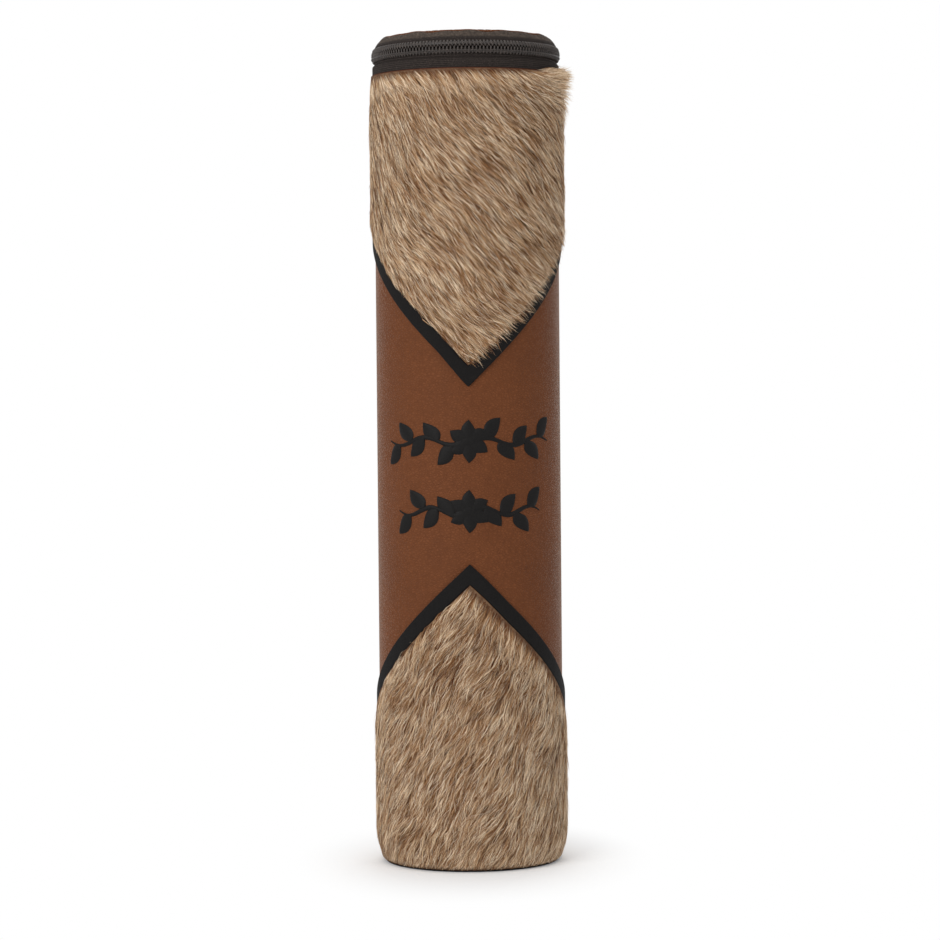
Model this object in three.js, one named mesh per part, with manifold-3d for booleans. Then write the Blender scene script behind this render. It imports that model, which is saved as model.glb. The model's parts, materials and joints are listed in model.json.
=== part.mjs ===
// A round zip-topped case for a rolled scroll: a stiff tube in a leather sleeve, with two pointed hide
// panels, black edge strips, an embroidered ornament, and a leather lid closed by a coil zip.
// Millimetres, +Z up, origin at the centre of the base. The front of the case faces -Y.
import * as THREE from "three";
import { mergeVertices } from "three/addons/utils/BufferGeometryUtils.js";
import { TessellateModifier } from "three/addons/modifiers/TessellateModifier.js";
import Module from "manifold-3d";

const wasm = await Module();
wasm.setup();

// Tube wall, from the outside in
const sleeveDiameter = 78;
const sleeveThickness = 1.4;
const tubeWall = 1.8;
const liningThickness = 0.8;
const glueLine = 0.25;
const sewnGap = 0.12;
const sleeveHeight = 335;
const seamSlit = 0.5;

// Base and rim of the tube
const baseLeather = 1.4;
const baseBoard = 2.5;
const baseCoverInset = 0.3;
const baseEdgeBevel = 0.5;
const rimFold = 0.8;
const rimStep = 0.4;

// Hide panels and the strips along their edges. A rise share is the height gained for the way round.
const upperPointHeight = 201.7;
const upperRiseShare = 1;
const lowerPointHeight = 128.4;
const lowerRiseShare = 0.95;
const stripWidth = 6.2;
const stripThickness = 1.1;
const stripTipGap = 0.3;
const hideGap = 0.3;
const upperHideThickness = 2.5;
const lowerHideThickness = 1.7;
const hideEdgeBevel = 0.7;
const hideBandAtBack = 8;
const hideHold = 1.5;
const hemHeight = 0.8;
const hemRound = 3.6;
const hideDrop = 3.35;

// Zip. The chain's rise is from the sleeve's edge to the middle of the chain.
const chainRise = 5.15;
const tapeThickness = 0.5;
const tapeTuck = 7.2;
const tapeSetback = 0.55;
const tapeLean = 1;
const tapeEdge = 1.3;
const coilReach = 2.95;
const coilGap = 0.5;
const coilThickness = 1.25;
const toothPitch = 1.5;
const toothDepth = 0.45;
const endJoint = 0.3;
const partingGap = 0.6;
const stopLength = 1.3;
const stopProud = 0.3;

// Lid
const shoulderRise = 3.4;
const shoulderDepth = 3;
const coverDiameter = 70.4;
const coverThickness = 1.4;
const coverEdgeBevel = 0.4;
const seamAllowance = 5;
const seamEase = 0.3;
const lidBoardDiameter = 69.2;
const lidBoardThickness = 1.6;
const lidLiningDiameter = 71;

// Leather strap that joins the lid to the sleeve at the back
const strapWidth = 26;
const strapThickness = 1;
const strapFoldGap = 0.4;

// Slider that runs round the chain, with its ring and pull tab
const sliderLength = 12;
const sliderWidth = 8.2;
const sliderPlate = 0.8;
const sliderClearance = 0.35;
const sliderInnerClearance = 1.1;
const sliderLip = 0.9;
const sliderDivider = 0.4;
const sliderDividerLength = 4.5;
const sliderParkGap = 1.4;
const bailSpan = 7.4;
const bailWire = 0.8;
const bailOpening = 1.6;
const ringWire = 0.9;
const ringInnerDiameter = 3.6;
const ringDrop = 0.6;
const ringOut = 0.97;
const tabLength = 24;
const tabTopWidth = 4.6;
const tabEndWidth = 7;
const tabThickness = 1.1;
const tabHoleWidth = 2;
const tabHoleHeight = 2.1;
const tabHoleEdge = 0.8;
const tabHang = 0.2;

// Embroidered ornament: two leafy garlands on the front of the sleeve
const garlandThickness = 0.6;
const upperGarlandHeight = 179.2;
const upperGarlandHalf = 38;
const lowerGarlandHeight = 150.2;
const lowerGarlandHalf = 32.5;
const garlandStem = 2.4;
const garlandSwing = 1.7;
const garlandWaves = 3;
const leafSpacing = 6.3;
const leafLength = 10;
const leafWidth = 5.6;
const leafLean = 0.85;
const leafBellyShare = 0.35;
const stemTaperShare = 0.7;
const petalCount = 6;
const petalLength = 8.8;
const petalWidth = 5.6;
const rosetteHeart = 2.6;
const longestFlatEdge = 4.4;

// Facets
const roundSteps = 72;
const hiddenSteps = 48;
const stemSteps = 22;
const leafSteps = 4;
const tessellations = 8;
const wireSides = 8;
const bailSteps = 10;
const ringSteps = 18;
const sliderSteps = 6;
const dividerSteps = 2;
const weldDistance = 0.0001;

// Outline of the lid's shoulder from the chain up: shares of its way in and of its height
const shoulderShares = [
  [0, 0],
  [0.22, 0.35],
  [0.45, 0.75],
  [0.7, 0.93],
  [1, 1],
];

// Radii of the layers
const sleeveOuter = sleeveDiameter / 2;
const sleeveInner = sleeveOuter - sleeveThickness;
const tubeOuter = sleeveInner - glueLine;
const tubeInner = tubeOuter - tubeWall;
const liningOuter = tubeInner - glueLine;
const liningInner = liningOuter - liningThickness;
const onSleeve = sleeveOuter + sewnGap;
const onTape = onSleeve + tapeThickness + sewnGap;
const onStrap = onSleeve + strapThickness + sewnGap;
const tapeInner = onSleeve - tapeSetback;
const tapeOuter = tapeInner + tapeThickness;
const coilInner = tapeOuter + sewnGap;
const coilOuter = coilInner + coilThickness;
const coverRadius = coverDiameter / 2;
const seamRadius = coverRadius - seamAllowance;

// Heights of the layers
const boardBottom = baseLeather + glueLine;
const floorLining = boardBottom + baseBoard + glueLine;
const liningBottom = floorLining + liningThickness + glueLine;
const sleeveTop = boardBottom + sleeveHeight;
const foldBottom = sleeveTop - rimStep + sewnGap;
const hideTop = sleeveTop - hideDrop;
const tapeBottom = hideTop - tapeTuck;
const stripLimit = tapeBottom - hideEdgeBevel - hideGap - hideHold;
const chainHeight = sleeveTop + chainRise;
const shoulderBottom = chainHeight + shoulderRise;
const shoulderTop = shoulderBottom + shoulderDepth;
const sliderReach = chainHeight + sliderWidth / 2 + sliderClearance;

// Angles round the tube in radians from the front, positive towards +X
const stepAngle = (2 * Math.PI) / roundSteps;
const seamAngle = Math.PI - angleOf(seamSlit / 2);
const strapAngle = angleOf(strapWidth / 2);
const zipAngle = Math.PI - strapAngle - angleOf(endJoint);
const stopAngle = zipAngle - angleOf(stopLength);
const sliderAngle = stopAngle - angleOf(endJoint + sliderLength / 2);
const lidZipAngle = sliderAngle - angleOf(sliderLength / 2 + sliderParkGap);

function angleOf(lengthRoundTube) {
  return lengthRoundTube / onSleeve;
}

function point(radius, angle, height) {
  return new THREE.Vector3(radius * Math.sin(angle), -radius * Math.cos(angle), height);
}

// A closed body swept round the tube. Each section is an outline of [radius, height] pairs,
// counterclockwise with the radius to the right. A closed ring has no end faces.
function sweep(sections, angles, closedRing = false) {
  const corners = sections.flatMap((outline, i) =>
    outline.flatMap(([radius, height]) => point(radius, angles[i], height).toArray()),
  );
  const sides = sections[0].length;
  const spans = closedRing ? sections.length : sections.length - 1;
  const triangles = [];
  for (let i = 0; i < spans; i++) {
    const here = i * sides;
    const next = ((i + 1) % sections.length) * sides;
    for (let j = 0; j < sides; j++) {
      const k = (j + 1) % sides;
      triangles.push(here + j, next + j, next + k, here + j, next + k, here + k);
    }
  }
  if (!closedRing) {
    const last = spans * sides;
    for (const [a, b, c] of capTriangles(sections[0])) triangles.push(a, b, c);
    for (const [a, b, c] of capTriangles(sections[spans])) triangles.push(last + a, last + c, last + b);
  }
  const geometry = new THREE.BufferGeometry();
  geometry.setAttribute("position", new THREE.Float32BufferAttribute(corners, 3));
  geometry.setIndex(triangles);
  return geometry;
}

function capTriangles(outline) {
  const contour = outline.map(([radius, height]) => new THREE.Vector2(radius, height));
  return THREE.ShapeUtils.triangulateShape(contour, []);
}

function ring(outline, steps) {
  const angles = Array.from({ length: steps }, (_, i) => (2 * Math.PI * i) / steps);
  return sweep(angles.map(() => outline), angles, true);
}

function arc(sectionAt, from, to, steps = 2 * Math.ceil((to - from) / stepAngle / 2)) {
  const angles = Array.from({ length: steps + 1 }, (_, i) => from + ((to - from) * i) / steps);
  return sweep(angles.map(sectionAt), angles);
}

function box(innerRadius, outerRadius, bottom, top) {
  return [
    [innerRadius, bottom],
    [outerRadius, bottom],
    [outerRadius, top],
    [innerRadius, top],
  ];
}

// A solid disc from the outline of its rim, bottom to top
function disc(rim, steps) {
  const bottom = rim[0][1];
  const top = rim[rim.length - 1][1];
  const profile = [[0, bottom], ...rim, [0, top]];
  const points = profile.map(([radius, height]) => new THREE.Vector2(radius, height));
  return new THREE.LatheGeometry(points, steps).rotateX(Math.PI / 2);
}

function plainDisc(radius, bottom, thickness) {
  return disc([[radius, bottom], [radius, bottom + thickness]], hiddenSteps);
}

function joined(geometries) {
  const solid = geometries.map(solidOf).reduce((whole, part) => whole.add(part));
  const mesh = solid.getMesh();
  const geometry = new THREE.BufferGeometry();
  geometry.setAttribute("position", new THREE.BufferAttribute(mesh.vertProperties, 3));
  geometry.setIndex(new THREE.BufferAttribute(mesh.triVerts, 1));
  return geometry;
}

function solidOf(geometry) {
  const plain = geometry.clone();
  plain.deleteAttribute("normal");
  plain.deleteAttribute("uv");
  const merged = mergeVertices(plain, weldDistance);
  const vertProperties = merged.attributes.position.array;
  const triVerts = new Uint32Array(merged.index.array);
  return new wasm.Manifold(new wasm.Mesh({ numProp: 3, vertProperties, triVerts }));
}

const finishes = {
  brownLeather: { color: 0x6a402b, roughness: 0.5, metalness: 0 },
  blackLeather: { color: 0x221f1d, roughness: 0.5, metalness: 0 },
  hide: { color: 0x91765c, roughness: 0.9, metalness: 0 },
  thread: { color: 0x211e1d, roughness: 0.6, metalness: 0 },
  tape: { color: 0x332f2d, roughness: 0.85, metalness: 0 },
  coil: { color: 0x3a3330, roughness: 0.4, metalness: 0 },
  lining: { color: 0x2c2a2c, roughness: 0.95, metalness: 0 },
  board: { color: 0x8d7a62, roughness: 0.9, metalness: 0 },
  metal: { color: 0x4a4744, roughness: 0.35, metalness: 0.9 },
};

function piece(name, geometry, finish) {
  const mesh = new THREE.Mesh(geometry, new THREE.MeshStandardMaterial(finish));
  mesh.name = name;
  return mesh;
}

// Stiff tube with its lining, its base and the leather sleeve, which meets itself at a seam down the back
function makeTube() {
  const liningOutline = [
    [liningInner, liningBottom],
    [liningOuter, liningBottom],
    [liningOuter, foldBottom],
    [tubeOuter, foldBottom],
    [tubeOuter, foldBottom + rimFold],
    [liningInner, foldBottom + rimFold],
  ];
  const sleeveOutline = box(sleeveInner, sleeveOuter, boardBottom, sleeveTop);
  const coverRim = [
    [sleeveOuter - baseCoverInset - baseEdgeBevel, 0],
    [sleeveOuter - baseCoverInset, baseEdgeBevel],
    [sleeveOuter - baseCoverInset, baseLeather],
  ];
  const tube = ring(box(tubeInner, tubeOuter, boardBottom, sleeveTop - rimStep), hiddenSteps);
  return [
    piece("core_tube", tube, finishes.board),
    piece("tube_lining", ring(liningOutline, hiddenSteps), finishes.lining),
    piece("base_board", plainDisc(liningOuter, boardBottom, baseBoard), finishes.board),
    piece("base_lining", plainDisc(liningOuter, floorLining, liningThickness), finishes.lining),
    piece("base_cover", disc(coverRim, roundSteps), finishes.blackLeather),
    piece("leather_sleeve", arc(() => sleeveOutline, -seamAngle, seamAngle), finishes.brownLeather),
  ];
}

// Bottom and top of each edge strip at an angle round the tube. The strips run level near the back seam.
function upperStripSpan(angle) {
  const way = sleeveOuter * Math.abs(angle);
  const bottom = Math.min(upperPointHeight + upperRiseShare * way, stripLimit - stripWidth);
  const top = upperPointHeight + upperRiseShare * way + stripWidth * Math.hypot(1, upperRiseShare);
  return [bottom, Math.min(top, stripLimit)];
}

function lowerStripSpan(angle) {
  const way = sleeveOuter * Math.abs(angle);
  const limit = hideBandAtBack + hideGap;
  const bottom = lowerPointHeight - lowerRiseShare * way - stripWidth * Math.hypot(1, lowerRiseShare);
  const top = Math.max(lowerPointHeight - lowerRiseShare * way, limit + stripWidth);
  return [Math.max(bottom, limit), top];
}

// A left and a right strip meet in a mitre at each point of the hide.
function makeStrips() {
  const tip = angleOf(stripTipGap / 2);
  const strips = { upper: upperStripSpan, lower: lowerStripSpan };
  return Object.entries(strips).flatMap(([level, spanAt]) => {
    const sectionAt = (angle) => box(onSleeve, onSleeve + stripThickness, ...spanAt(angle));
    return [
      piece(`${level}_strip_right`, arc(sectionAt, tip, seamAngle), finishes.blackLeather),
      piece(`${level}_strip_left`, arc(sectionAt, -seamAngle, -tip), finishes.blackLeather),
    ];
  });
}

// The upper hide laps over the zip tape and the strap. The lower hide is turned in round the base.
function makeHides() {
  const upperOuter = onSleeve + upperHideThickness;
  const lowerOuter = onSleeve + lowerHideThickness;
  const upperSection = (angle) => {
    const bottom = upperStripSpan(angle)[1] + hideGap;
    const lap = Math.abs(angle) > zipAngle - stepAngle ? onStrap : onTape;
    return [
      [onSleeve, bottom],
      [upperOuter - hideEdgeBevel, bottom],
      [upperOuter, bottom + hideEdgeBevel],
      [upperOuter, hideTop - hideEdgeBevel],
      [upperOuter - hideEdgeBevel, hideTop],
      [lap, hideTop],
      [lap, tapeBottom - sewnGap],
      [onSleeve, tapeBottom - hideEdgeBevel],
    ];
  };
  const lowerSection = (angle) => {
    const top = lowerStripSpan(angle)[0] - hideGap;
    return [
      [onSleeve, hemHeight],
      [lowerOuter - hideEdgeBevel, hemHeight + hideEdgeBevel],
      [lowerOuter, hemHeight + hemRound],
      [lowerOuter, top - hideEdgeBevel],
      [lowerOuter - hideEdgeBevel, top],
      [onSleeve, top],
    ];
  };
  return [
    piece("upper_hide", arc(upperSection, -seamAngle, seamAngle), finishes.hide),
    piece("lower_hide", arc(lowerSection, -seamAngle, seamAngle), finishes.hide),
  ];
}

function padOf(shape) {
  return new THREE.ExtrudeGeometry(shape, {
    depth: garlandThickness,
    bevelEnabled: false,
    curveSegments: leafSteps,
  });
}

function leafPad(length, width) {
  const shape = new THREE.Shape();
  shape.moveTo(0, 0);
  shape.quadraticCurveTo(length * leafBellyShare, width, length, 0);
  shape.quadraticCurveTo(length * leafBellyShare, -width, 0, 0);
  return padOf(shape);
}

function stemHeight(along, half) {
  return garlandSwing * Math.sin((garlandWaves * Math.PI * along) / half);
}

function stemPad(half) {
  const under = [];
  const over = [];
  for (let i = 0; i <= stemSteps; i++) {
    const along = half * ((2 * i) / stemSteps - 1);
    const thick = (garlandStem / 2) * (1 - (stemTaperShare * Math.abs(along)) / half);
    under.push(new THREE.Vector2(along, stemHeight(along, half) - thick));
    over.unshift(new THREE.Vector2(along, stemHeight(along, half) + thick));
  }
  return padOf(new THREE.Shape([...under, ...over]));
}

// Lays a flat ornament round the sleeve: its width becomes the way round, its depth the radius.
function laidRound(flat, height) {
  const fine = new TessellateModifier(longestFlatEdge, tessellations).modify(flat.toNonIndexed());
  const corners = fine.getAttribute("position");
  for (let i = 0; i < corners.count; i++) {
    const radius = onSleeve + corners.getZ(i);
    const corner = point(radius, corners.getX(i) / sleeveOuter, height + corners.getY(i));
    corners.setXYZ(i, corner.x, corner.y, corner.z);
  }
  return fine;
}

function garland(half, height, firstSide) {
  const pads = [stemPad(half)];
  const leaves = Math.round(half / leafSpacing) - 1;
  for (const side of [-1, 1]) {
    for (let i = 1; i <= leaves; i++) {
      const along = (side * half * i) / (leaves + 1);
      const up = firstSide * side * (i % 2 ? 1 : -1);
      const lean = side > 0 ? up * leafLean : Math.PI - up * leafLean;
      pads.push(leafPad(leafLength, leafWidth).rotateZ(lean).translate(along, stemHeight(along, half), 0));
    }
  }
  for (let i = 0; i < petalCount; i++) {
    pads.push(leafPad(petalLength, petalWidth).rotateZ((Math.PI * (2 * i + 1)) / petalCount));
  }
  pads.push(padOf(new THREE.Shape().absarc(0, 0, rosetteHeart, 0, 2 * Math.PI)));
  return laidRound(joined(pads), height);
}

function makeOrnament() {
  return [
    piece("upper_embroidery", garland(upperGarlandHalf, upperGarlandHeight, 1), finishes.thread),
    piece("lower_embroidery", garland(lowerGarlandHalf, lowerGarlandHeight, -1), finishes.thread),
  ];
}

// Section of what covers the lid's shoulder, from a height near the chain to under the leather cover.
// The tape and the strap share it, and the strap is pared down to the tape's thickness at the top.
function shoulderSection(bottom, innerRadius, thickness) {
  const outerRadius = innerRadius + thickness;
  const line = (radius, depth) => [
    [radius, chainHeight],
    ...shoulderShares.map(([inShare, upShare]) => [
      radius - inShare * (outerRadius - coverRadius),
      shoulderBottom + upShare * depth,
    ]),
    [seamRadius, shoulderBottom + depth],
  ];
  const outside = cutAbove(line(outerRadius, shoulderDepth), bottom);
  const inside = cutAbove(line(innerRadius, shoulderDepth - tapeThickness), bottom);
  return [...outside, ...inside.reverse()];
}

// The stretch of a rising line that lies above a height
function cutAbove(line, height) {
  const first = line.findIndex((place) => place[1] > height);
  const [low, high] = [line[first - 1], line[first]];
  const share = (height - low[1]) / (high[1] - low[1]);
  return [[low[0] + share * (high[0] - low[0]), height], ...line.slice(first)];
}

// One half of the chain, as a band with its teeth. side is 1 above the middle of the chain and -1 below it.
function coil(side, from, to) {
  const teeth = Math.round(((to - from) * onSleeve) / toothPitch);
  const steps = 2 * teeth;
  const angles = Array.from({ length: steps + 1 }, (_, i) => from + ((to - from) * i) / steps);
  const sections = angles.map((_, i) => {
    const dip = (i % 2) * toothDepth;
    const near = chainHeight + side * (coilGap + dip);
    const far = chainHeight + side * coilReach;
    return box(coilInner, coilOuter - dip, Math.min(near, far), Math.max(near, far));
  });
  return sweep(sections, angles);
}

function makeZipOnCase() {
  const tapeTop = chainHeight - tapeEdge;
  const tapeOutline = [
    [onSleeve, tapeBottom],
    [onSleeve + tapeThickness, tapeBottom],
    [onSleeve + tapeThickness, sleeveTop],
    [tapeOuter, sleeveTop + tapeLean],
    [tapeOuter, tapeTop],
    [tapeInner, tapeTop],
    [tapeInner, sleeveTop + tapeLean],
    [onSleeve, sleeveTop],
  ];
  const endOutline = box(tapeInner, tapeOuter, chainHeight + tapeEdge, sliderReach - sliderClearance);
  const stopBottom = chainHeight - coilReach - stopProud;
  const stopTop = chainHeight + coilReach + stopProud;
  const stopOutline = box(coilInner, coilOuter + stopProud, stopBottom, stopTop);
  const coilEnd = stopAngle - angleOf(endJoint);
  const endStart = lidZipAngle + angleOf(partingGap);
  return [
    piece("zip_tape_lower", arc(() => tapeOutline, -zipAngle, zipAngle), finishes.tape),
    piece("zip_coil_lower", coil(-1, -coilEnd, coilEnd), finishes.coil),
    piece("zip_tape_end_right", arc(() => endOutline, endStart, zipAngle), finishes.tape),
    piece("zip_tape_end_left", arc(() => endOutline, -zipAngle, -endStart), finishes.tape),
    piece("zip_coil_end_right", coil(1, endStart, coilEnd), finishes.coil),
    piece("zip_coil_end_left", coil(1, -coilEnd, -endStart), finishes.coil),
    piece("zip_stop_right", arc(() => stopOutline, stopAngle, zipAngle), finishes.metal),
    piece("zip_stop_left", arc(() => stopOutline, -zipAngle, -stopAngle), finishes.metal),
  ];
}

function makeZipOnLid() {
  const full = shoulderSection(chainHeight + tapeEdge, tapeInner, tapeThickness);
  const cut = shoulderSection(sliderReach, tapeInner, tapeThickness);
  const whole = [
    arc(() => cut, -zipAngle, -lidZipAngle),
    arc(() => full, -lidZipAngle, lidZipAngle),
    arc(() => cut, lidZipAngle, zipAngle),
  ];
  return [
    piece("zip_tape_upper", joined(whole), finishes.tape),
    piece("zip_coil_upper", coil(1, -lidZipAngle, lidZipAngle), finishes.coil),
  ];
}

// The strap is one length of leather on the real case. Here it parts at the fold, where the lid turns.
function makeStrapLeaf(name, outline) {
  return piece(name, arc(() => outline, Math.PI - strapAngle, Math.PI + strapAngle), finishes.brownLeather);
}

function makeLid() {
  const boardTop = shoulderTop - tapeThickness - glueLine;
  const boardLow = boardTop - lidBoardThickness;
  const liningLow = boardLow - glueLine - liningThickness;
  const coverBottom = shoulderTop + sewnGap;
  const coverRim = [
    [seamRadius - seamEase, boardTop + glueLine],
    [seamRadius - seamEase, coverBottom],
    [coverRadius, coverBottom],
    [coverRadius, coverBottom + coverThickness - coverEdgeBevel],
    [coverRadius - coverEdgeBevel, coverBottom + coverThickness],
  ];
  return [
    piece("lid_cover", disc(coverRim, roundSteps), finishes.brownLeather),
    piece("lid_board", plainDisc(lidBoardDiameter / 2, boardLow, lidBoardThickness), finishes.board),
    piece("lid_lining", plainDisc(lidLiningDiameter / 2, liningLow, liningThickness), finishes.lining),
  ];
}

// An arch from the slider's plate, along the way that the slider runs
class BailLine extends THREE.Curve {
  constructor(base, crown) {
    super();
    this.base = base;
    this.crown = crown;
  }

  getPoint(share, target = new THREE.Vector3()) {
    const turn = Math.PI * share;
    const radius = this.base + (this.crown - this.base) * Math.sin(turn);
    return target.set((-bailSpan / 2) * Math.cos(turn), -radius, chainHeight);
  }
}

function polygon(diameter, sides) {
  const corners = Array.from({ length: sides }, (_, i) => {
    const turn = (2 * Math.PI * i) / sides;
    return new THREE.Vector2(Math.cos(turn), Math.sin(turn)).multiplyScalar(diameter / 2);
  });
  return new THREE.Shape(corners);
}

// The slider is made at the front of the case and turned to where it is parked.
const plateInner = coilOuter + sliderClearance;
const plateOuter = plateInner + sliderPlate;
const bailRadius = plateOuter + bailOpening + bailWire / 2;
const ringRadius = bailRadius + ringOut;
const ringHeight = chainHeight - ringDrop;

function makeSliderBody() {
  const half = angleOf(sliderLength / 2);
  const lipTip = tapeOuter + sliderClearance;
  const bottom = chainHeight - sliderWidth / 2;
  const top = chainHeight + sliderWidth / 2;
  const front = [
    [lipTip, bottom],
    [plateOuter, bottom],
    [plateOuter, top],
    [lipTip, top],
    [lipTip, top - sliderLip],
    [plateInner, top - sliderLip],
    [plateInner, bottom + sliderLip],
    [lipTip, bottom + sliderLip],
  ];
  const backOuter = tapeInner - sliderInnerClearance;
  const back = box(backOuter - sliderPlate, backOuter, bottom, top);
  const dividerLow = chainHeight - sliderDivider / 2;
  const dividerInner = backOuter - sliderPlate / 2;
  const divider = box(dividerInner, plateInner + sliderPlate / 2, dividerLow, dividerLow + sliderDivider);
  const bail = new THREE.ExtrudeGeometry(polygon(bailWire, wireSides), {
    steps: bailSteps,
    bevelEnabled: false,
    extrudePath: new BailLine(plateOuter - sliderPlate / 2, bailRadius),
  });
  return joined([
    arc(() => front, -half, half, sliderSteps),
    arc(() => back, -half, half, sliderSteps),
    arc(() => divider, half - angleOf(sliderDividerLength), half, dividerSteps),
    bail,
  ]);
}

function makePull() {
  const middleRadius = (ringInnerDiameter + ringWire) / 2;
  const loop = new THREE.TorusGeometry(middleRadius, ringWire / 2, wireSides, ringSteps).rotateY(Math.PI / 2);
  const holeTop = tabHang - ringInnerDiameter / 2;
  const tabTop = holeTop + tabHoleEdge;
  const roundEnd = tabEndWidth / 2;
  const shape = new THREE.Shape();
  shape.moveTo(-tabTopWidth / 2, tabTop);
  shape.lineTo(-roundEnd, tabTop - tabLength + roundEnd);
  shape.absarc(0, tabTop - tabLength + roundEnd, roundEnd, Math.PI, 2 * Math.PI);
  shape.lineTo(tabTopWidth / 2, tabTop);
  const hole = new THREE.Path();
  hole.moveTo(-tabHoleWidth / 2, holeTop);
  hole.lineTo(-tabHoleWidth / 2, holeTop - tabHoleHeight);
  hole.lineTo(tabHoleWidth / 2, holeTop - tabHoleHeight);
  hole.lineTo(tabHoleWidth / 2, holeTop);
  hole.closePath();
  shape.holes.push(hole);
  const tab = new THREE.ExtrudeGeometry(shape, { depth: tabThickness, bevelEnabled: false });
  tab.rotateX(Math.PI / 2).translate(0, tabThickness / 2, 0);
  const pieces = [piece("pull_ring", loop, finishes.metal), piece("pull_tab", tab, finishes.metal)];
  const pull = new THREE.Group().add(...pieces);
  pull.position.set(0, -ringRadius, ringHeight);
  return pull;
}

const body = new THREE.Group().add(...makeTube(), ...makeStrips(), ...makeHides(), ...makeOrnament());
const foldHalf = strapFoldGap / 2;
const strapLow = box(onSleeve, onSleeve + strapThickness, tapeBottom, chainHeight - foldHalf);
const strapHigh = shoulderSection(chainHeight + foldHalf, onSleeve, strapThickness);
body.add(...makeZipOnCase(), makeStrapLeaf("strap_lower_leaf", strapLow));

const lid = new THREE.Group().add(...makeLid(), ...makeZipOnLid());
lid.add(makeStrapLeaf("strap_upper_leaf", strapHigh));

const slider = new THREE.Group().add(piece("slider_body", makeSliderBody(), finishes.metal), makePull());
slider.rotation.z = sliderAngle;

const scrollCase = new THREE.Group().add(body, lid, slider);

export default scrollCase;
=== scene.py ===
# %% [markdown]
# A round case for a rolled scroll. A stiff tube wears a sleeve of brown grained leather. Two panels of
# haired hide, each cut to a point at the front, are edged with strips of black leather. A garland is
# embroidered between them, and a flat leather lid closes with a coil zip.
# The CAD model is the frame: it is loaded first, never changed, and every new piece but the strap rides on
# one of its bodies.

# %% Load the frame
import json
from math import atan2, ceil, cos, floor, hypot, pi, radians, sin, sqrt
import bpy
import numpy as np
from mathutils import Matrix, Vector

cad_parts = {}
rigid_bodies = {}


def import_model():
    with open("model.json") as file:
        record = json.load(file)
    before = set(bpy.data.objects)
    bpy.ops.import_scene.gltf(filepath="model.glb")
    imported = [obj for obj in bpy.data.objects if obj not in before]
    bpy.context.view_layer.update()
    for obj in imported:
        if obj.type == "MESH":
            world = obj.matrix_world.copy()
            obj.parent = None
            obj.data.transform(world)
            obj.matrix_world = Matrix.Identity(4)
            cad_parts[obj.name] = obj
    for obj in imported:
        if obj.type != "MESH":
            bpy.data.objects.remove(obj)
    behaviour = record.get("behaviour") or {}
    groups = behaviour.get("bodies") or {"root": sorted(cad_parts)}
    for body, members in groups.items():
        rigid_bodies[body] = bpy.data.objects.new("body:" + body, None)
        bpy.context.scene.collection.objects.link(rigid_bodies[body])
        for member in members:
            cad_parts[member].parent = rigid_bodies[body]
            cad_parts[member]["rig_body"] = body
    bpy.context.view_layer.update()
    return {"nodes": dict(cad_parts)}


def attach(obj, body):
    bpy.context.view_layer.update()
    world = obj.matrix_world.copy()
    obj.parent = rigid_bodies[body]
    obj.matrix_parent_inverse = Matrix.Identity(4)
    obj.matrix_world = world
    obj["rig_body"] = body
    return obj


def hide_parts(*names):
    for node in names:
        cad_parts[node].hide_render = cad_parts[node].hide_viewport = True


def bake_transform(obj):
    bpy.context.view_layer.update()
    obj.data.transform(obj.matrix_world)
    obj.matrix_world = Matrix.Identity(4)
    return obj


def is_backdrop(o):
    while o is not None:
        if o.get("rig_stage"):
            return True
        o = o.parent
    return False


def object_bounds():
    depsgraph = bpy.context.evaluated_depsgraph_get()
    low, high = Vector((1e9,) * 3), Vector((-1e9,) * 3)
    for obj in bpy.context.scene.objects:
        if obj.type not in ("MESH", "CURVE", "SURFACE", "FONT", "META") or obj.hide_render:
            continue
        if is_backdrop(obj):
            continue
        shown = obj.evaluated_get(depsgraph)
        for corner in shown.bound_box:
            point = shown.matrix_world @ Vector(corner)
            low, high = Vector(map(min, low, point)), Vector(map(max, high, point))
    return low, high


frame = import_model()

# %% [markdown]
# Most of the case is cut and sewn flat and then rolled round a tube. The same is done here: in the flat,
# X is the way round from the front, Z is the height, and -Y points out of the sleeve's face. These sizes
# say where the layers lie, in metres, as in the CAD model.

# %% Sizes of the layers
MM = 0.001
SLEEVE = 39 * MM
ON_SLEEVE = 39.12 * MM
ON_TAPE = 39.74 * MM
ON_STRAP = 40.24 * MM
SLEEVE_BOTTOM = 1.65 * MM
SLEEVE_TOP = 336.65 * MM
HIDE_TOP = 333.3 * MM
TAPE_BOTTOM = 326.1 * MM
CHAIN = 341.8 * MM
SEAM_WAY = SLEEVE * pi - 0.25 * MM


def way_of(degrees):
    return SLEEVE * radians(degrees)


ZIP_WAY = way_of(160.52)
STOP_WAY = way_of(158.62)
LID_ZIP_WAY = way_of(138.55)
STRAP_WAY = way_of(19.04)
SLIDER_TURN = radians(149.39)
print("way round the case in mm:", round(2 * pi * SLEEVE / MM, 1))

# %% [markdown]
# Some curves are wanted in several steps. One eases from 0 to 1, two say how far leather and hide are
# turned in and curled under at the base, and two let rows of faces crowd towards an edge.

# %% Easing
TUCK = 1.3 * MM
TUCKED_BELOW = 10 * MM
CURL = 1.8 * MM
CURLED_BELOW = 2.5 * MM
CROWDING = 1.9


def step_up(value, low, high):
    share = np.clip((value - low) / (high - low), 0, 1)
    return share * share * (3 - 2 * share)


def turned_in(height):
    return TUCK * (1 - step_up(height, 0, TUCKED_BELOW))


def curled_under(height):
    return CURL * (1 - np.clip(height / CURLED_BELOW, 0, 1)) ** 2


def crowd_down(share):
    return share ** CROWDING


def crowd_up(share):
    return 1 - crowd_down(1 - share)


# %% [markdown]
# A few helpers do what hands do in Blender's window: add a primitive, pick a piece or some of its faces
# or corners, and apply a modifier. An operator works on all that is selected, so each helper starts by
# letting go of everything.

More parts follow.
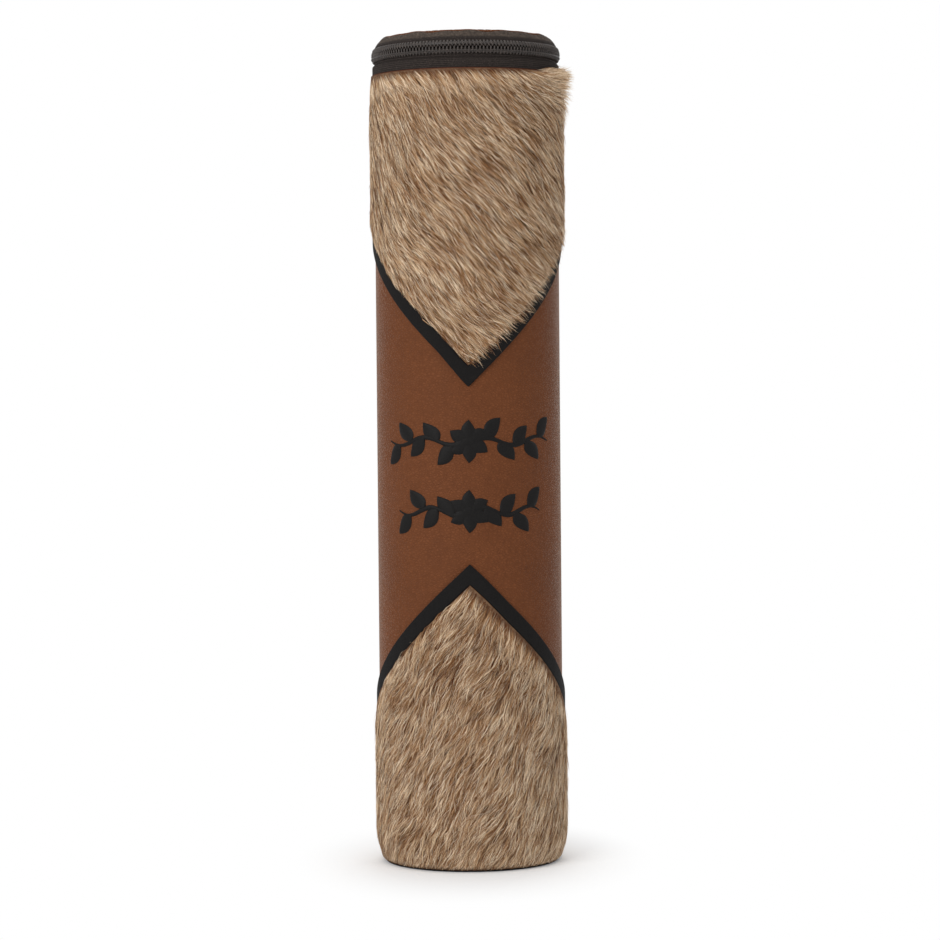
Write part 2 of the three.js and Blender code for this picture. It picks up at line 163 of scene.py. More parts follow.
# %% Pick and edit
def pick(*pieces):
    bpy.ops.object.select_all(action="DESELECT")
    for piece in pieces:
        piece.select_set(True)
    bpy.context.view_layer.objects.active = pieces[0]


def named(piece, name):
    piece.name = piece.data.name = name
    return piece


def settle(piece, name=None):
    """Puts a piece's place into its mesh, so that its own origin is the frame's."""
    pick(piece)
    bpy.ops.object.transform_apply(location=True, rotation=True, scale=True)
    return named(piece, name or piece.name)


def turn_to(piece, angle):
    piece.rotation_euler = (0, 0, angle)
    settle(piece)


def fresh(name, primitive, scale=(1, 1, 1), **settings):
    """A new primitive, such as a grid or a torus, settled under its own name."""
    bpy.ops.object.select_all(action="DESELECT")
    primitive(**settings)
    bpy.context.object.scale = scale
    return settle(bpy.context.object, name)


def shown(name, data):
    """A new object in the scene for a mesh, a curve, a lamp or a camera."""
    made = bpy.data.objects.new(name, data)
    bpy.context.collection.objects.link(made)
    return made


def done():
    bpy.ops.object.mode_set(mode="OBJECT")


def edit(piece, chosen=None, what="VERT"):
    """Edit mode, with all of a piece picked, or only the corners or faces for which chosen is true."""
    pick(piece)
    bpy.ops.object.mode_set(mode="EDIT")
    bpy.ops.mesh.select_mode(type=what)
    bpy.ops.mesh.select_all(action="DESELECT" if chosen else "SELECT")
    if chosen:
        done()
        for part in piece.data.polygons if what == "FACE" else piece.data.vertices:
            part.select = chosen(part.center if what == "FACE" else part.co)
        bpy.ops.object.mode_set(mode="EDIT")


def move(piece, step, chosen=None):
    edit(piece, chosen)
    bpy.ops.transform.translate(value=step)
    done()


def close_up(piece):
    """Welds corners that lie together, fills what is open and turns every face outwards."""
    edit(piece)
    bpy.ops.mesh.remove_doubles(threshold=0.002 * MM)
    bpy.ops.mesh.fill_holes(sides=0)
    bpy.ops.mesh.select_all(action="SELECT")
    bpy.ops.mesh.normals_make_consistent(inside=False)
    done()


def modify(piece, kind, **settings):
    modifier = piece.modifiers.new(kind.title(), kind)
    for setting, value in settings.items():
        setattr(modifier, setting, value)
    pick(piece)
    bpy.ops.object.modifier_apply(modifier=modifier.name)


def round_over(piece, width, segments=3, angle=1.2):
    """Rounds the edges at which two faces meet at more than an angle."""
    modify(piece, "BEVEL", width=width, segments=segments, limit_method="ANGLE", angle_limit=angle)


def row_of(piece, count, step):
    modify(piece, "ARRAY", count=count, use_relative_offset=False, use_constant_offset=True,
           constant_offset_displace=step)
    return piece


def join(pieces, name):
    pick(*pieces)
    if len(pieces) > 1:
        bpy.ops.object.join()
    return named(pieces[0], name)


# %% [markdown]
# A blank is a flat sheet of small faces. Pulling its columns between two edges gives the shapes of the
# hides and strips with clean rows of faces, where cutting would leave slivers, and the rows can crowd
# towards an edge that needs a finer shape. A band is a sheet that follows an outline, made by extruding
# its top edge from point to point. Rolling is done by the Simple Deform modifier: it bends X round Z, and
# the bent piece is then moved so that the tube's axis is the frame's.

# %% Cut flat stuff and roll it round the tube
CELL = 1.7 * MM


def blank(name, left, right, bottom, top, columns, rows):
    middle = ((left + right) / 2, 0, (bottom + top) / 2)
    size = (right - left, top - bottom, 1)
    return fresh(name, bpy.ops.mesh.primitive_grid_add, size, x_subdivisions=columns,
                 y_subdivisions=rows, size=1, location=middle, rotation=(pi / 2, 0, 0))


def columns_for(left, right, cell=CELL):
    return 2 * max(1, round((right - left) / cell / 2))


def pulled(name, low, high, rows, spread=lambda share: share):
    """A blank all round, whose columns run from the height low(way) to the height high(way)."""
    sheet = blank(name, -SEAM_WAY, SEAM_WAY, 0, 1, columns_for(-SEAM_WAY, SEAM_WAY), rows)
    for corner in sheet.data.vertices:
        bottom = low(corner.co.x)
        share = spread(min(1, max(0, corner.co.z)))
        corner.co.z = bottom + share * (high(corner.co.x) - bottom)
    return sheet


def band(name, left, right, outline, cell=CELL):
    """A sheet whose section is an outline of (radius, height) points in mm, from the bottom up."""
    places = [Vector((0, SLEEVE - radius * MM, height * MM)) for radius, height in outline]
    sheet = blank(name, left, right, 0, 1, columns_for(left, right, cell), 1)
    for corner in sheet.data.vertices:
        corner.co.yz = places[1].yz if corner.co.z > 0.5 else places[0].yz
    for here, there in zip(places[1:], places[2:]):
        edit(sheet, lambda co, at=here: (co.yz - at.yz).length < 0.001 * MM)
        bpy.ops.mesh.extrude_region_move(TRANSFORM_OT_translate={"value": there - here})
        done()
    return sheet


def lay_flat_map(piece):
    """A UV map in millimetres of the flat piece, so that a weave follows the cloth and not the room."""
    flat = piece.data.uv_layers.new(name="flat")
    for loop, place in zip(piece.data.loops, flat.data):
        co = piece.data.vertices[loop.vertex_index].co
        place.uv = (co.x / MM, (co.z + co.y) / MM)


def thicken(piece, thickness, outwards, edge=0, segments=3):
    """Gives a flat sheet its thickness and, if wanted, rounds its edges over."""
    modify(piece, "SOLIDIFY", thickness=thickness, offset=1 if outwards else -1, use_even_offset=True)
    if edge:
        round_over(piece, edge, segments, 0.9)


def roll(piece):
    ways = [corner.co.x for corner in piece.data.vertices]
    turn = (max(ways) - min(ways)) / SLEEVE
    modify(piece, "SIMPLE_DEFORM", deform_method="BEND", deform_axis="Z", angle=turn)
    move(piece, (0, -SLEEVE, 0))


# %% [markdown]
# Shader maths reads best as sums and products. Wire wraps one output socket, and Python's operators on it
# add Math nodes. Finish builds one material or the world, and its method node adds any other node, from
# its kind, its settings, and the values or wires of its sockets.

# %% Wires and finishes
FINISHES = {}


def operator(operation):
    """The method behind one of Python's operators."""
    return lambda self, other: self.maths(operation, self, other)


class Wire:
    __add__ = __radd__ = operator("ADD")
    __mul__ = __rmul__ = operator("MULTIPLY")
    __sub__ = operator("SUBTRACT")
    __truediv__ = operator("DIVIDE")
    __pow__ = operator("POWER")
    __gt__ = operator("GREATER_THAN")

    def __init__(self, finish, socket):
        self.finish = finish
        self.socket = socket

    def __rsub__(self, other):
        return self.maths("SUBTRACT", other, self)

    def maths(self, operation, *values):
        return self.finish.node("Math", {"operation": operation}, dict(enumerate(values)))

    def floor(self):
        return self.maths("FLOOR", self)

    def wave(self):
        """Goes from 0 to 1 and back once for every whole number."""
        return 0.5 - 0.5 * self.maths("COSINE", self * (2 * pi))

    def ramp(self, low, high):
        """0 up to low, 1 from high on, and smooth in between."""
        settings = {"interpolation_type": "SMOOTHSTEP"}
        return self.finish.node("MapRange", settings, {"Value": self, "From Min": low, "From Max": high})


class Finish:
    def __init__(self, name, owner=None, shader="Principled BSDF", **sockets):
        self.material = owner or bpy.data.materials.new(name)
        self.material.use_nodes = True
        self.tree = self.material.node_tree
        self.shader = self.tree.nodes[shader]
        self.feed(**sockets)
        FINISHES[name] = self.material

    def join(self, socket, value):
        if isinstance(value, Wire):
            self.tree.links.new(value.socket, socket)
        else:
            socket.default_value = value

    def feed(self, **sockets):
        for name, value in sockets.items():
            self.join(self.shader.inputs[name.replace("_", " ")], value)

    def node(self, kind, settings, sockets, out=0):
        made = self.tree.nodes.new("ShaderNode" + kind)
        for name, value in settings.items():
            setattr(made, name, value)
        for name, value in sockets.items():
            self.join(made.inputs[name], value)
        return Wire(self, made.outputs[out])

    def place(self):
        """Where a point of the surface lies in the frame."""
        return self.node("TexCoord", {}, {}, "Object")

    def parts(self, vector):
        split = self.node("SeparateXYZ", {}, {0: vector})
        return [Wire(self, output) for output in split.socket.node.outputs]

    def on_map(self, name):
        """The place on one of the piece's UV maps. On the flat map it is way and height in mm."""
        return self.parts(self.node("UVMap", {"uv_map": name}, {}))

    def vectors(self, operation, sockets, out=0):
        return self.node("VectorMath", {"operation": operation}, sockets, out)

    def noise(self, vector, size, detail=3, roughness=0.55, out=0):
        sockets = {"Vector": vector, "Scale": 1 / size, "Detail": detail, "Roughness": roughness}
        return self.node("TexNoise", {}, sockets, out)

    def blend(self, share, first, second):
        return self.node("Mix", {"data_type": "RGBA"}, {0: share, 6: first, 7: second}, 2)

    def paint(self, share, first, second):
        self.feed(Base_Color=self.blend(share, first, second))

    def bump(self, height, depth):
        self.feed(Normal=self.node("Bump", {}, {"Height": height, "Distance": depth, "Strength": 1}))


def shade(red, green, blue):
    """A colour as a picture editor gives it, 0 to 255, turned into Blender's linear light."""
    def linear(value):
        value = value / 255
        return value / 12.92 if value <= 0.04045 else ((value + 0.055) / 1.055) ** 2.4

    return (linear(red), linear(green), linear(blue), 1)

# %% [markdown]
# The sleeve is brown calf with an embossed pebble grain. An image of leather would stretch and show a
# join. A Voronoi pattern on Object coordinates gives pebbles of one size all over: its distance to the
# edge is high on a pebble and zero in the creases. The height is stretched, so that the pebbles lie wide.
# Fine noise breaks them up, a wide noise shades the dye, and the creases are duller. The creases are also
# painted darker, a painted shade, and the same dark colour gives a fine random mottle.

# %% Leathers
STRETCH = (1, 1, 1.6)


def leather(name, dye, mottle_and_crease_shade, worn, pebble, depth, roughness, **constants):
    finish = Finish(name, **constants)
    place = finish.place()
    wide = finish.vectors("MULTIPLY", {0: place, 1: STRETCH})
    bend = finish.noise(place, 3 * pebble, 2, out=1)
    bend = finish.vectors("SCALE", {0: bend, "Scale": 0.7 * pebble})
    bent = finish.vectors("ADD", {0: wide, 1: bend})
    to_edge = {"feature": "DISTANCE_TO_EDGE"}
    pebbles = finish.node("TexVoronoi", to_edge, {"Vector": bent, "Scale": 1 / pebble}, "Distance")
    pebbles = pebbles.ramp(0, 0.32)
    pores = finish.noise(place, 0.35 * pebble, 4)
    cloudy = finish.noise(place, 26 * MM, 4).ramp(0.3, 0.7)
    dyed = finish.blend(cloudy, dye, worn)
    mottle = finish.noise(place, 2.2 * MM, 4).ramp(0.35, 0.75)
    dyed = finish.blend(mottle * 0.3, dyed, mottle_and_crease_shade)
    # Painted shade: the creases between the pebbles are painted darker.
    finish.paint((1 - pebbles) * 0.4, dyed, mottle_and_crease_shade)
    finish.feed(Roughness=roughness + 0.14 * (1 - pebbles) + 0.08 * (cloudy - 0.5))
    finish.bump(pebbles + 0.35 * pores, depth)


leather(
    "brown_leather", shade(106, 61, 34), shade(80, 44, 24), shade(113, 66, 38), 1.5 * MM, 0.14 * MM, 0.5,
    Specular_IOR_Level=0.1, Sheen_Weight=0.36, Sheen_Roughness=0.25, Sheen_Tint=(1, 0.84, 0.69, 1),
)
leather(
    "black_leather", shade(23, 21, 21), shade(15, 14, 14), shade(28, 26, 25), 0.6 * MM, 0.06 * MM, 0.7,
    Specular_IOR_Level=0.12,
)

# %% [markdown]
# Some stuffs need only one noise, which gives two shades and a small relief: the grey-brown bookbinder's
# board of the tube wall and the boards, which only shows if a piece is taken off, the zip's coil of dark
# brown nylon, the black rayon of the embroidery and the waxed brown thread of the seams.

# %% Board, nylon and threads
def speckled(name, grain, first, second, depth, rough, rougher=0, fine=(4, 0.55), low=0.35, gloss=0.5):
    """The roughness is rough, and more by a share rougher of the noise."""
    finish = Finish(name, Specular_IOR_Level=gloss)
    specks = finish.noise(finish.place(), grain, *fine)
    finish.paint(specks.ramp(low, 0.7), first, second)
    finish.feed(Roughness=rough + rougher * specks)
    finish.bump(specks, depth)


speckled("board", 1.4 * MM, shade(150, 133, 110), shade(120, 104, 84), 0.05 * MM, 0.9, 0, (6, 0.7), 0.3)
speckled("zip_coil", 0.9 * MM, shade(40, 34, 31), shade(65, 56, 51), 0.02 * MM, 0.36, 0.2, gloss=0.4)
speckled("black_thread", 0.3 * MM, shade(19, 18, 18), shade(29, 27, 26), 0.03 * MM, 0.5, gloss=0.1)
speckled("seam_thread", 0.3 * MM, shade(70, 42, 29), shade(98, 62, 44), 0.03 * MM, 0.7, gloss=0.2)

# %% [markdown]
# The lining is a plain-woven dark cloth: its threads go over and under each other, and a wave across and
# one along give that as light and dark squares, the dark ones a painted shade where a thread dips under.
# Zip tape has fine ribs along its length, crossed by small slanted stitches. The ribs come from the height
# on the flat map and the stitches from the way round, pushed on by the height so that they slant; the
# grooves between them are painted darker, a painted shade. The upper tape's hem is whipped with long
# slanting stitches, which are painted much lighter, a painted highlight. Behind the chain the tape is
# painted lighter, a painted light that eases the shade between the coil's turns.

# %% Lining cloth and zip tape
THREAD_MM = 0.55
RIB_MM = 0.8
HEM_MM = (346.6, 348.2)
# Heights in mm between which the tape behind the chain is painted lighter, as painted light.
PAINTED_LIGHT_FROM_MM = (339.6, 340.4)
PAINTED_LIGHT_TO_MM = (343.2, 344)

finish = Finish("lining_cloth", Roughness=0.95, Specular_IOR_Level=0.15)
way, height, _ = finish.on_map("flat")
across = (way / THREAD_MM).wave()
along = (height / THREAD_MM).wave()
weave = across * along + (1 - across) * (1 - along)
slub = finish.noise(finish.place(), 1.1 * MM, 4)
# Painted shade: the squares where a thread dips under are painted darker.
cloth = finish.blend(weave, shade(34, 33, 35), shade(60, 58, 60))
finish.paint(slub.ramp(0.4, 0.8) * 0.5, cloth, shade(44, 42, 44))
finish.bump(weave + 0.4 * slub, 0.12 * MM)

finish = Finish("zip_tape", Roughness=0.9, Specular_IOR_Level=0.1)
way, height, _ = finish.on_map("flat")
ribs = (height / RIB_MM).wave()
stitches = (way / 0.6 + height / (2 * RIB_MM)).wave()
rib_relief_and_shade = ribs ** 0.6 * (0.5 + 0.5 * stitches)
fluff = finish.noise(finish.place(), 0.42 * MM, 4, 0.7)
tufts = finish.noise(finish.place(), 1.1 * MM, 4, 0.7).ramp(0.3, 0.7)
strokes = 0.45 + 0.55 * (way / 1.4 + height / 5 + 1.5 * tufts).wave()
hem_stitches_and_highlight = height.ramp(*HEM_MM) * (0.2 + 0.8 * tufts) * strokes
painted_light_behind_chain = height.ramp(*PAINTED_LIGHT_FROM_MM) * (1 - height.ramp(*PAINTED_LIGHT_TO_MM))
# Painted shade: the grooves between the ribs and stitches are painted darker.
cloth = finish.blend(rib_relief_and_shade, shade(26, 23, 22), shade(58, 51, 48))
# Painted light: the tape behind the chain is painted lighter, to ease the shade between the coil's turns.
cloth = finish.blend(painted_light_behind_chain * 0.8, cloth, shade(92, 83, 78))
# Painted highlight: the whipped hem's stitches are painted much lighter.
cloth = finish.blend(hem_stitches_and_highlight * 0.7, cloth, shade(128, 113, 101))
finish.paint(fluff.ramp(0.48, 0.7) * 0.6, cloth, shade(86, 77, 71))
finish.bump(rib_relief_and_shade + 0.25 * fluff + hem_stitches_and_highlight, 0.22 * MM)

# %% [markdown]
# The slider, its pull and the stops are zinc with a dark plating, which is scuffed here and there. The
# hide itself only shows where it is cut: a red-brown line along its top edge. Under the hair it is painted
# dark, a painted shade, so that gaps between the hairs look deep.

# %% Dark metal and hide
finish = Finish("dark_metal", Metallic=1)
place = finish.place()
flat_spots = finish.noise(place, 1.6 * MM, 5)
scuffs = finish.noise(place, 0.3 * MM, 2).ramp(0.55, 0.75)
plated = finish.blend(flat_spots.ramp(0.35, 0.7), shade(92, 88, 84), shade(118, 113, 107))
finish.paint(scuffs * 0.4, plated, shade(150, 144, 136))
finish.feed(Roughness=0.3 + 0.22 * flat_spots)
finish.bump(flat_spots, 0.03 * MM)

finish = Finish("hide_skin", Roughness=0.85, Specular_IOR_Level=0.15)
place = finish.place()
patchy = finish.noise(place, 3 * MM, 4)
# Painted shade: the skin under the hair is painted dark brown, in random patches.
painted_shade_under_hair = finish.blend(patchy.ramp(0.35, 0.7), shade(84, 60, 43), shade(122, 94, 70))
raw_edge = finish.parts(place)[2].ramp(HIDE_TOP - 0.5 * MM, HIDE_TOP - 0.3 * MM)
finish.paint(raw_edge, painted_shade_under_hair, shade(78, 44, 29))
finish.bump(patchy, 0.1 * MM)
FINISHES["haired_hide"] = finish.material

# %% [markdown]
# Each hair gets one tone of 64, from dark to cream; the dark tones also serve as painted shade for hairs
# that lie deep or at a lock's edge. Each hair is also painted darker near the skin, a painted shade deep
# in the coat, and gets lighter towards its tip. The tone and the place along the hair are kept in the
# hair's own UV map, tone across and length along, so the finish needs nothing else. The map carries the
# name that the export bakes through, and hairs of one tone share one narrow column of it, so they bake
# alike.

# %% Hair
HAIR_MAP = "OFBake"
TONES = 64
SHADES = [
    (0.0, shade(66, 34, 18)),
    (0.22, shade(119, 73, 41)),
    (0.5, shade(167, 124, 84)),
    (0.78, shade(210, 177, 138)),
    (1.0, shade(243, 222, 193)),
]

finish = Finish("hair", Specular_IOR_Level=0.12)
across, along, _ = finish.on_map(HAIR_MAP)
body = finish.node("ValToRGB", {}, {0: (across * TONES).floor() / (TONES - 1)})
ramp = body.socket.node.color_ramp
while len(ramp.elements) < len(SHADES):
    ramp.elements.new(1)
for element, (position, colour) in zip(ramp.elements, SHADES):
    element.position = position
    element.color = colour
# Painted shade: each hair is painted darker near the skin, deep in the coat.
root = finish.blend((1 - along.ramp(0, 0.6)) * 0.9, body, shade(76, 40, 22))
finish.paint(along.ramp(0.65, 1) * 0.4, root, shade(232, 212, 184))
finish.feed(Roughness=0.62 - 0.12 * along)
print("finishes:", ", ".join(FINISHES))

# %% [markdown]
# Every piece is finished off in one way: smooth shading with creases where faces meet at an angle, its
# finish, which its material slot names unless another is given, the body that it rides on, and the hiding
# of the CAD nodes it stands for.

# %% Finish a piece
def dress(piece, body, slot, nodes=(), material=None, sharp=38):
    pick(piece)
    bpy.ops.object.shade_smooth_by_angle(angle=radians(sharp))
    piece.data.materials.clear()
    piece.data.materials.append(FINISHES[material or slot])
    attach(piece, body)
    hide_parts(*nodes)
    faces = sum(len(face.vertices) - 2 for face in piece.data.polygons)
    print(f"{piece.name}: {faces} triangles on {body}")


for name in ("core_tube", "base_board", "lid_board"):
    node = frame["nodes"][name]
    node.data.materials.clear()
    node.data.materials.append(FINISHES["board"])

# %% [markdown]
# The sleeve is one piece of leather, glued round the tube, whose two edges meet in a seam down the back.
# It is a flat blank given its thickness inwards, so that its face stays at the sleeve's size, and then
# rolled. Near the base it is pared and turned in, and its rows crowd there.

# %% Leather sleeve
sleeve = pulled("sleeve", lambda way: SLEEVE_BOTTOM, lambda way: SLEEVE_TOP, 40, crowd_down)
thicken(sleeve, 1.4 * MM, False, 0.35 * MM)
for corner in sleeve.data.vertices:
    corner.co.y = max(corner.co.y, turned_in(corner.co.z))
roll(sleeve)
dress(sleeve, "case", "brown_leather", ["leather_sleeve"])

# %% [markdown]
# Stitches are modelled once and repeated by an Array modifier: a small cube, long and low, with its
# edges rounded. A row runs up both sides of the back seam, where the sleeve's edges are sewn down.

# %% Seam stitches
BACK_STITCHES = 87
BACK_STEP = 3.4 * MM


def stitch(name, length=2.5 * MM, width=0.42 * MM, height=0.45 * MM):
    one = fresh(name, bpy.ops.mesh.primitive_cube_add, (length, height, width), size=1)
    round_over(one, 0.45 * min(width, height), 2)
    move(one, (0, 0.35 * height, 0), lambda co: abs(co.x) > 0.42 * length)
    return one


rows = []
for side in (-1, 1):
    row = stitch("seam_stitches", 0.45 * MM, 2.7 * MM, 0.5 * MM)
    row.data.transform(Matrix.Translation((side * 2.6 * MM, SLEEVE - ON_SLEEVE, 19 * MM)))
    rows.append(row_of(row, BACK_STITCHES, (0, 0, BACK_STEP)))
seam = join(rows, "back_seam_stitches")
roll(seam)
turn_to(seam, pi)
dress(seam, "case", "brown_leather", material="seam_thread")

# %% [markdown]
# Four strips of thin black leather cover the cut edges of the hides. They climb one millimetre for each
# millimetre of the way round on the upper panel, fall a little less on the lower one, and run level near
# the back. The upper panel's left edge was cut two millimetres higher than its right one, and the lower
# panel's right edge a millimetre lower than its left one. At a point the left and the right strip are
# butted so tightly that no joint shows, so here one pulled blank stands for both.

# %% Edge strips
STRIP_WIDTH = 6.2 * MM
STRIP_THICKNESS = 1.1 * MM
UPPER_POINT = 201.7 * MM
UPPER_LEFT_HIGHER = 2.1 * MM
UPPER_STRIP_LIMIT = 323.6 * MM
LOWER_POINT = 128.4 * MM
LOWER_RISE = 0.95
LOWER_RIGHT_LOWER = MM
LOWER_STRIP_LIMIT = 8.3 * MM


def upper_edge(way):
    higher = step_up(-way, 0, 14 * MM) * (1 - step_up(-way, 45 * MM, 75 * MM))
    return UPPER_POINT + abs(way) + UPPER_LEFT_HIGHER * higher


def upper_strip_low(way):
    return np.minimum(upper_edge(way), UPPER_STRIP_LIMIT - STRIP_WIDTH)


def upper_strip_high(way):
    return np.minimum(upper_edge(way) + STRIP_WIDTH * sqrt(2), UPPER_STRIP_LIMIT)


def lower_edge(way):
    lower = step_up(way, 4 * MM, 18 * MM) * (1 - step_up(way, 48 * MM, 75 * MM))
    return LOWER_POINT - LOWER_RISE * abs(way) - LOWER_RIGHT_LOWER * lower


def lower_strip_low(way):
    return np.maximum(lower_edge(way) - STRIP_WIDTH * hypot(1, LOWER_RISE), LOWER_STRIP_LIMIT)


def lower_strip_high(way):
    return np.maximum(lower_edge(way), LOWER_STRIP_LIMIT + STRIP_WIDTH)


edges = {"upper": (upper_strip_low, upper_strip_high), "lower": (lower_strip_low, lower_strip_high)}
for panel, (low, high) in edges.items():
    strip = pulled(panel + "_edging", low, high, 4)
    move(strip, (0, SLEEVE - ON_SLEEVE, 0))
    thicken(strip, STRIP_THICKNESS, True, 0.4 * MM)
    roll(strip)
    dress(strip, "case", "black_leather", [panel + "_strip_right", panel + "_strip_left"])

# %% [markdown]
# The embroidery is satin stitch: threads lie side by side across each leaf, over padding that makes the
# leaf swell. A bump pattern could draw the threads, but the light catches real ridges better. So a pad
# is a grid with two rows of corners for each thread, crest and valley, pulled to the leaf's outline.

# %% Satin-stitched pads
THREAD = 0.42 * MM
PAD_RISE = 0.62 * MM
RIDGE = 0.11 * MM
ACROSS = 8


def satin_pad(name, threads, middle, half_width, slant=0.25):
    """middle(share) is (way, height) along the pad, half_width(share) is how far it reaches to a side."""
    pad = blank(name, -1, 1, 0, 1, ACROSS, 2 * threads)
    for corner in pad.data.vertices:
        side, share = corner.co.x, corner.co.z
        row = round(2 * threads * share)
        way, height = middle(share)
        reach = half_width(share)
        swell = max(0.0, 1 - side * side) ** 0.5 * min(1, reach / (1.1 * MM)) ** 0.7
        ridge = RIDGE * (row % 2) * (1 - side ** 6)
        lean = slant * reach * side
        corner.co = (way + lean, -PAD_RISE * swell + ridge, height + reach * side)
    close_up(pad)
    return pad


def leaf(length, width):
    return satin_pad(
        "leaf",
        round(0.92 * length / THREAD),
        lambda share: (0.7 * share * (1 - share) * length + share * share * length, 0),
        lambda share: 2 * share * (1 - share) * width,
    )


# %% [markdown]
# One leaf and one petal are made, and each copy gets its own mesh, turned and put in its place along the
# stem, which swings up and down. The pads are joined into one garland, set on the sleeve and rolled.

# %% Garlands
SWING = 1.7 * MM
STEM_HALF = 1.5 * MM
HEART = 2.6 * MM
LEAF_STEP = 6.3 * MM
LEAF_TURN = 0.85


def copy_of(piece, turn, way, height):
    double = shown(piece.name, piece.data.copy())
    double.data.transform(Matrix.Translation((way, 0, height)) @ Matrix.Rotation(-turn, 4, "Y"))
    return double


def make_garland(panel, half, height, first_side):
    def on_stem(way):
        return way, SWING * sin(3 * pi * way / half)

    stem = satin_pad(
        "stem",
        round(2 * half / THREAD),
        lambda share: on_stem(half * (2 * share - 1)),
        lambda share: STEM_HALF * (1 - 0.7 * abs(2 * share - 1)),
        -0.6,
    )
    heart = satin_pad(
        "heart",
        12,
        lambda share: (HEART * (2 * share - 1), 0),
        lambda share: HEART * sqrt(max(0.0, 1 - (2 * share - 1) ** 2)),
        0,
    )
    one_leaf = leaf(10.6 * MM, 6.4 * MM)
    petal = leaf(9 * MM, 6.2 * MM)
    pads = [stem, heart]
    leaves = round(half / LEAF_STEP) - 1
    for side in (-1, 1):
        for i in range(1, leaves + 1):
            way = side * half * i / (leaves + 1)
            up = first_side * side * (1 if i % 2 else -1)
            turn = up * LEAF_TURN if side > 0 else pi - up * LEAF_TURN
            pads.append(copy_of(one_leaf, turn, *on_stem(way)))
    for i in range(6):
        pads.append(copy_of(petal, pi * (2 * i + 1) / 6, 0, 0))
    move(heart, (0, -0.12 * MM, 0))
    bpy.data.objects.remove(one_leaf)
    bpy.data.objects.remove(petal)
    garland = join(pads, panel + "_garland")
    move(garland, (0, SLEEVE - ON_SLEEVE, height))
    roll(garland)
    dress(garland, "case", "black_thread", [panel + "_embroidery"], sharp=80)


make_garland("upper", 38 * MM, 179.2 * MM, 1)
make_garland("lower", 32.5 * MM, 150.2 * MM, -1)

# %% [markdown]
# The hides are thin and glued on the sleeve. The upper one laps over the zip tape and, at the back, over
# the strap, so its inner face steps outwards near the top, where it is pared. The lower one is pared
# towards the base, where it is turned in and curled under.

# %% Hide skins
HIDE_GAP = 0.3 * MM
HIDE_BOTTOM = 0.8 * MM
UPPER_SKIN = 40.65 * MM
UPPER_EDGE = 40.2 * MM
LOWER_SKIN = 40.25 * MM
LOWER_EDGE = 39.4 * MM


def upper_radius(heights):
    return UPPER_SKIN - (UPPER_SKIN - UPPER_EDGE) * step_up(heights, HIDE_TOP - 8 * MM, HIDE_TOP)


def lower_radius(heights):
    flat = LOWER_EDGE + (LOWER_SKIN - LOWER_EDGE) * step_up(heights, 2 * MM, 15 * MM)
    return flat - turned_in(heights) - curled_under(heights)


def lower_inside(height):
    return ON_SLEEVE - turned_in(height) - curled_under(height)


def upper_hide_low(way):
    return upper_strip_high(way) + HIDE_GAP


def lower_hide_high(way):
    return lower_strip_low(way) - HIDE_GAP


def finish_skin(skin, panel, edge, outside, inside=None):
    """Gives a hide its two faces, each at its own radius, and rolls it. The outer face comes first."""
    count = len(skin.data.vertices)
    modify(skin, "SOLIDIFY", thickness=MM, offset=1)
    for corner in skin.data.vertices:
        radius = outside if corner.index < count else inside
        if radius:
            corner.co.y = SLEEVE - radius(corner.co.z)
    round_over(skin, edge, 2, 1.1)
    roll(skin)
    dress(skin, "case", "haired_hide", [panel + "_hide"])


skin = pulled("upper_hide_skin", upper_hide_low, lambda way: HIDE_TOP, 26, crowd_up)
for corner in skin.data.vertices:
    corner.co.y = SLEEVE - ON_SLEEVE
    if corner.co.z > TAPE_BOTTOM - 0.4 * MM:
        corner.co.y = SLEEVE - (ON_TAPE if abs(corner.co.x) < ZIP_WAY - 2 * MM else ON_STRAP)
finish_skin(skin, "upper", 0.35 * MM, upper_radius)
skin = pulled("lower_hide_skin", lambda way: HIDE_BOTTOM, lower_hide_high, 26, crowd_down)
finish_skin(skin, "lower", 0.1 * MM, lower_radius, lower_inside)

# %% [markdown]
# The zip tape's lower half is sewn round the sleeve's rim and leans over it a little. The upper half
# leans in over the lid's shoulder and is sewn under the lid's cover. Both follow an outline from the
# bottom up. The upper tape stops short of the chain near the strap, where the slider parks, and short
# ends of tape stay on the case there.

# %% Zip tapes
TAPE = 0.5 * MM
TAPE_EDGE = 0.15 * MM
TAPE_RADIUS = 38.6
TAPE_END_HEIGHT = 4.1
CHAIN_MM = CHAIN / MM
PARTING = LID_ZIP_WAY + 0.6 * MM
SHOULDER = [(0, 0), (0.09, 0.19), (0.2, 0.4), (0.33, 0.62), (0.48, 0.83), (0.65, 1.03), (0.8, 1.17)]
SHOULDER += [(0.92, 1.16), (1, 1)]
SHOULDER_HEIGHT = 345.2
LOWER_TAPE = [(39.62, 326.1), (39.62, 334.0), (39.62, 336.8), (39.5, 337.3), (39.1, 337.7)]
LOWER_TAPE += [(38.62, 338), (38.6, 339.2), (38.6, CHAIN_MM - 0.3)]
TAPE_FOOT = (TAPE_RADIUS, CHAIN_MM + 0.3)


def shoulder(radius, low, depth, rim=35.2):
    """The outline from a height up over the lid's shoulder and in under the cover."""
    over = [(radius - (radius - rim) * share, SHOULDER_HEIGHT + depth * up) for share, up in SHOULDER]
    return [(radius, low)] + over + [(30.2, SHOULDER_HEIGHT + depth)]


def pucker(way):
    """The sewn edge is drawn in at some stitches and bulges between others."""
    return (0.2 * sin(way / (2.1 * MM)) + 0.22 * sin(way / (3.7 * MM) + 2)) * MM


def finish_tape(tape, body, node):
    lay_flat_map(tape)
    roll(tape)
    dress(tape, body, "zip_tape", [node])


def make_tape(name, body, left, right, outline, node):
    tape = band(name, left, right, outline)
    thicken(tape, TAPE, False, TAPE_EDGE, 2)
    finish_tape(tape, body, node)


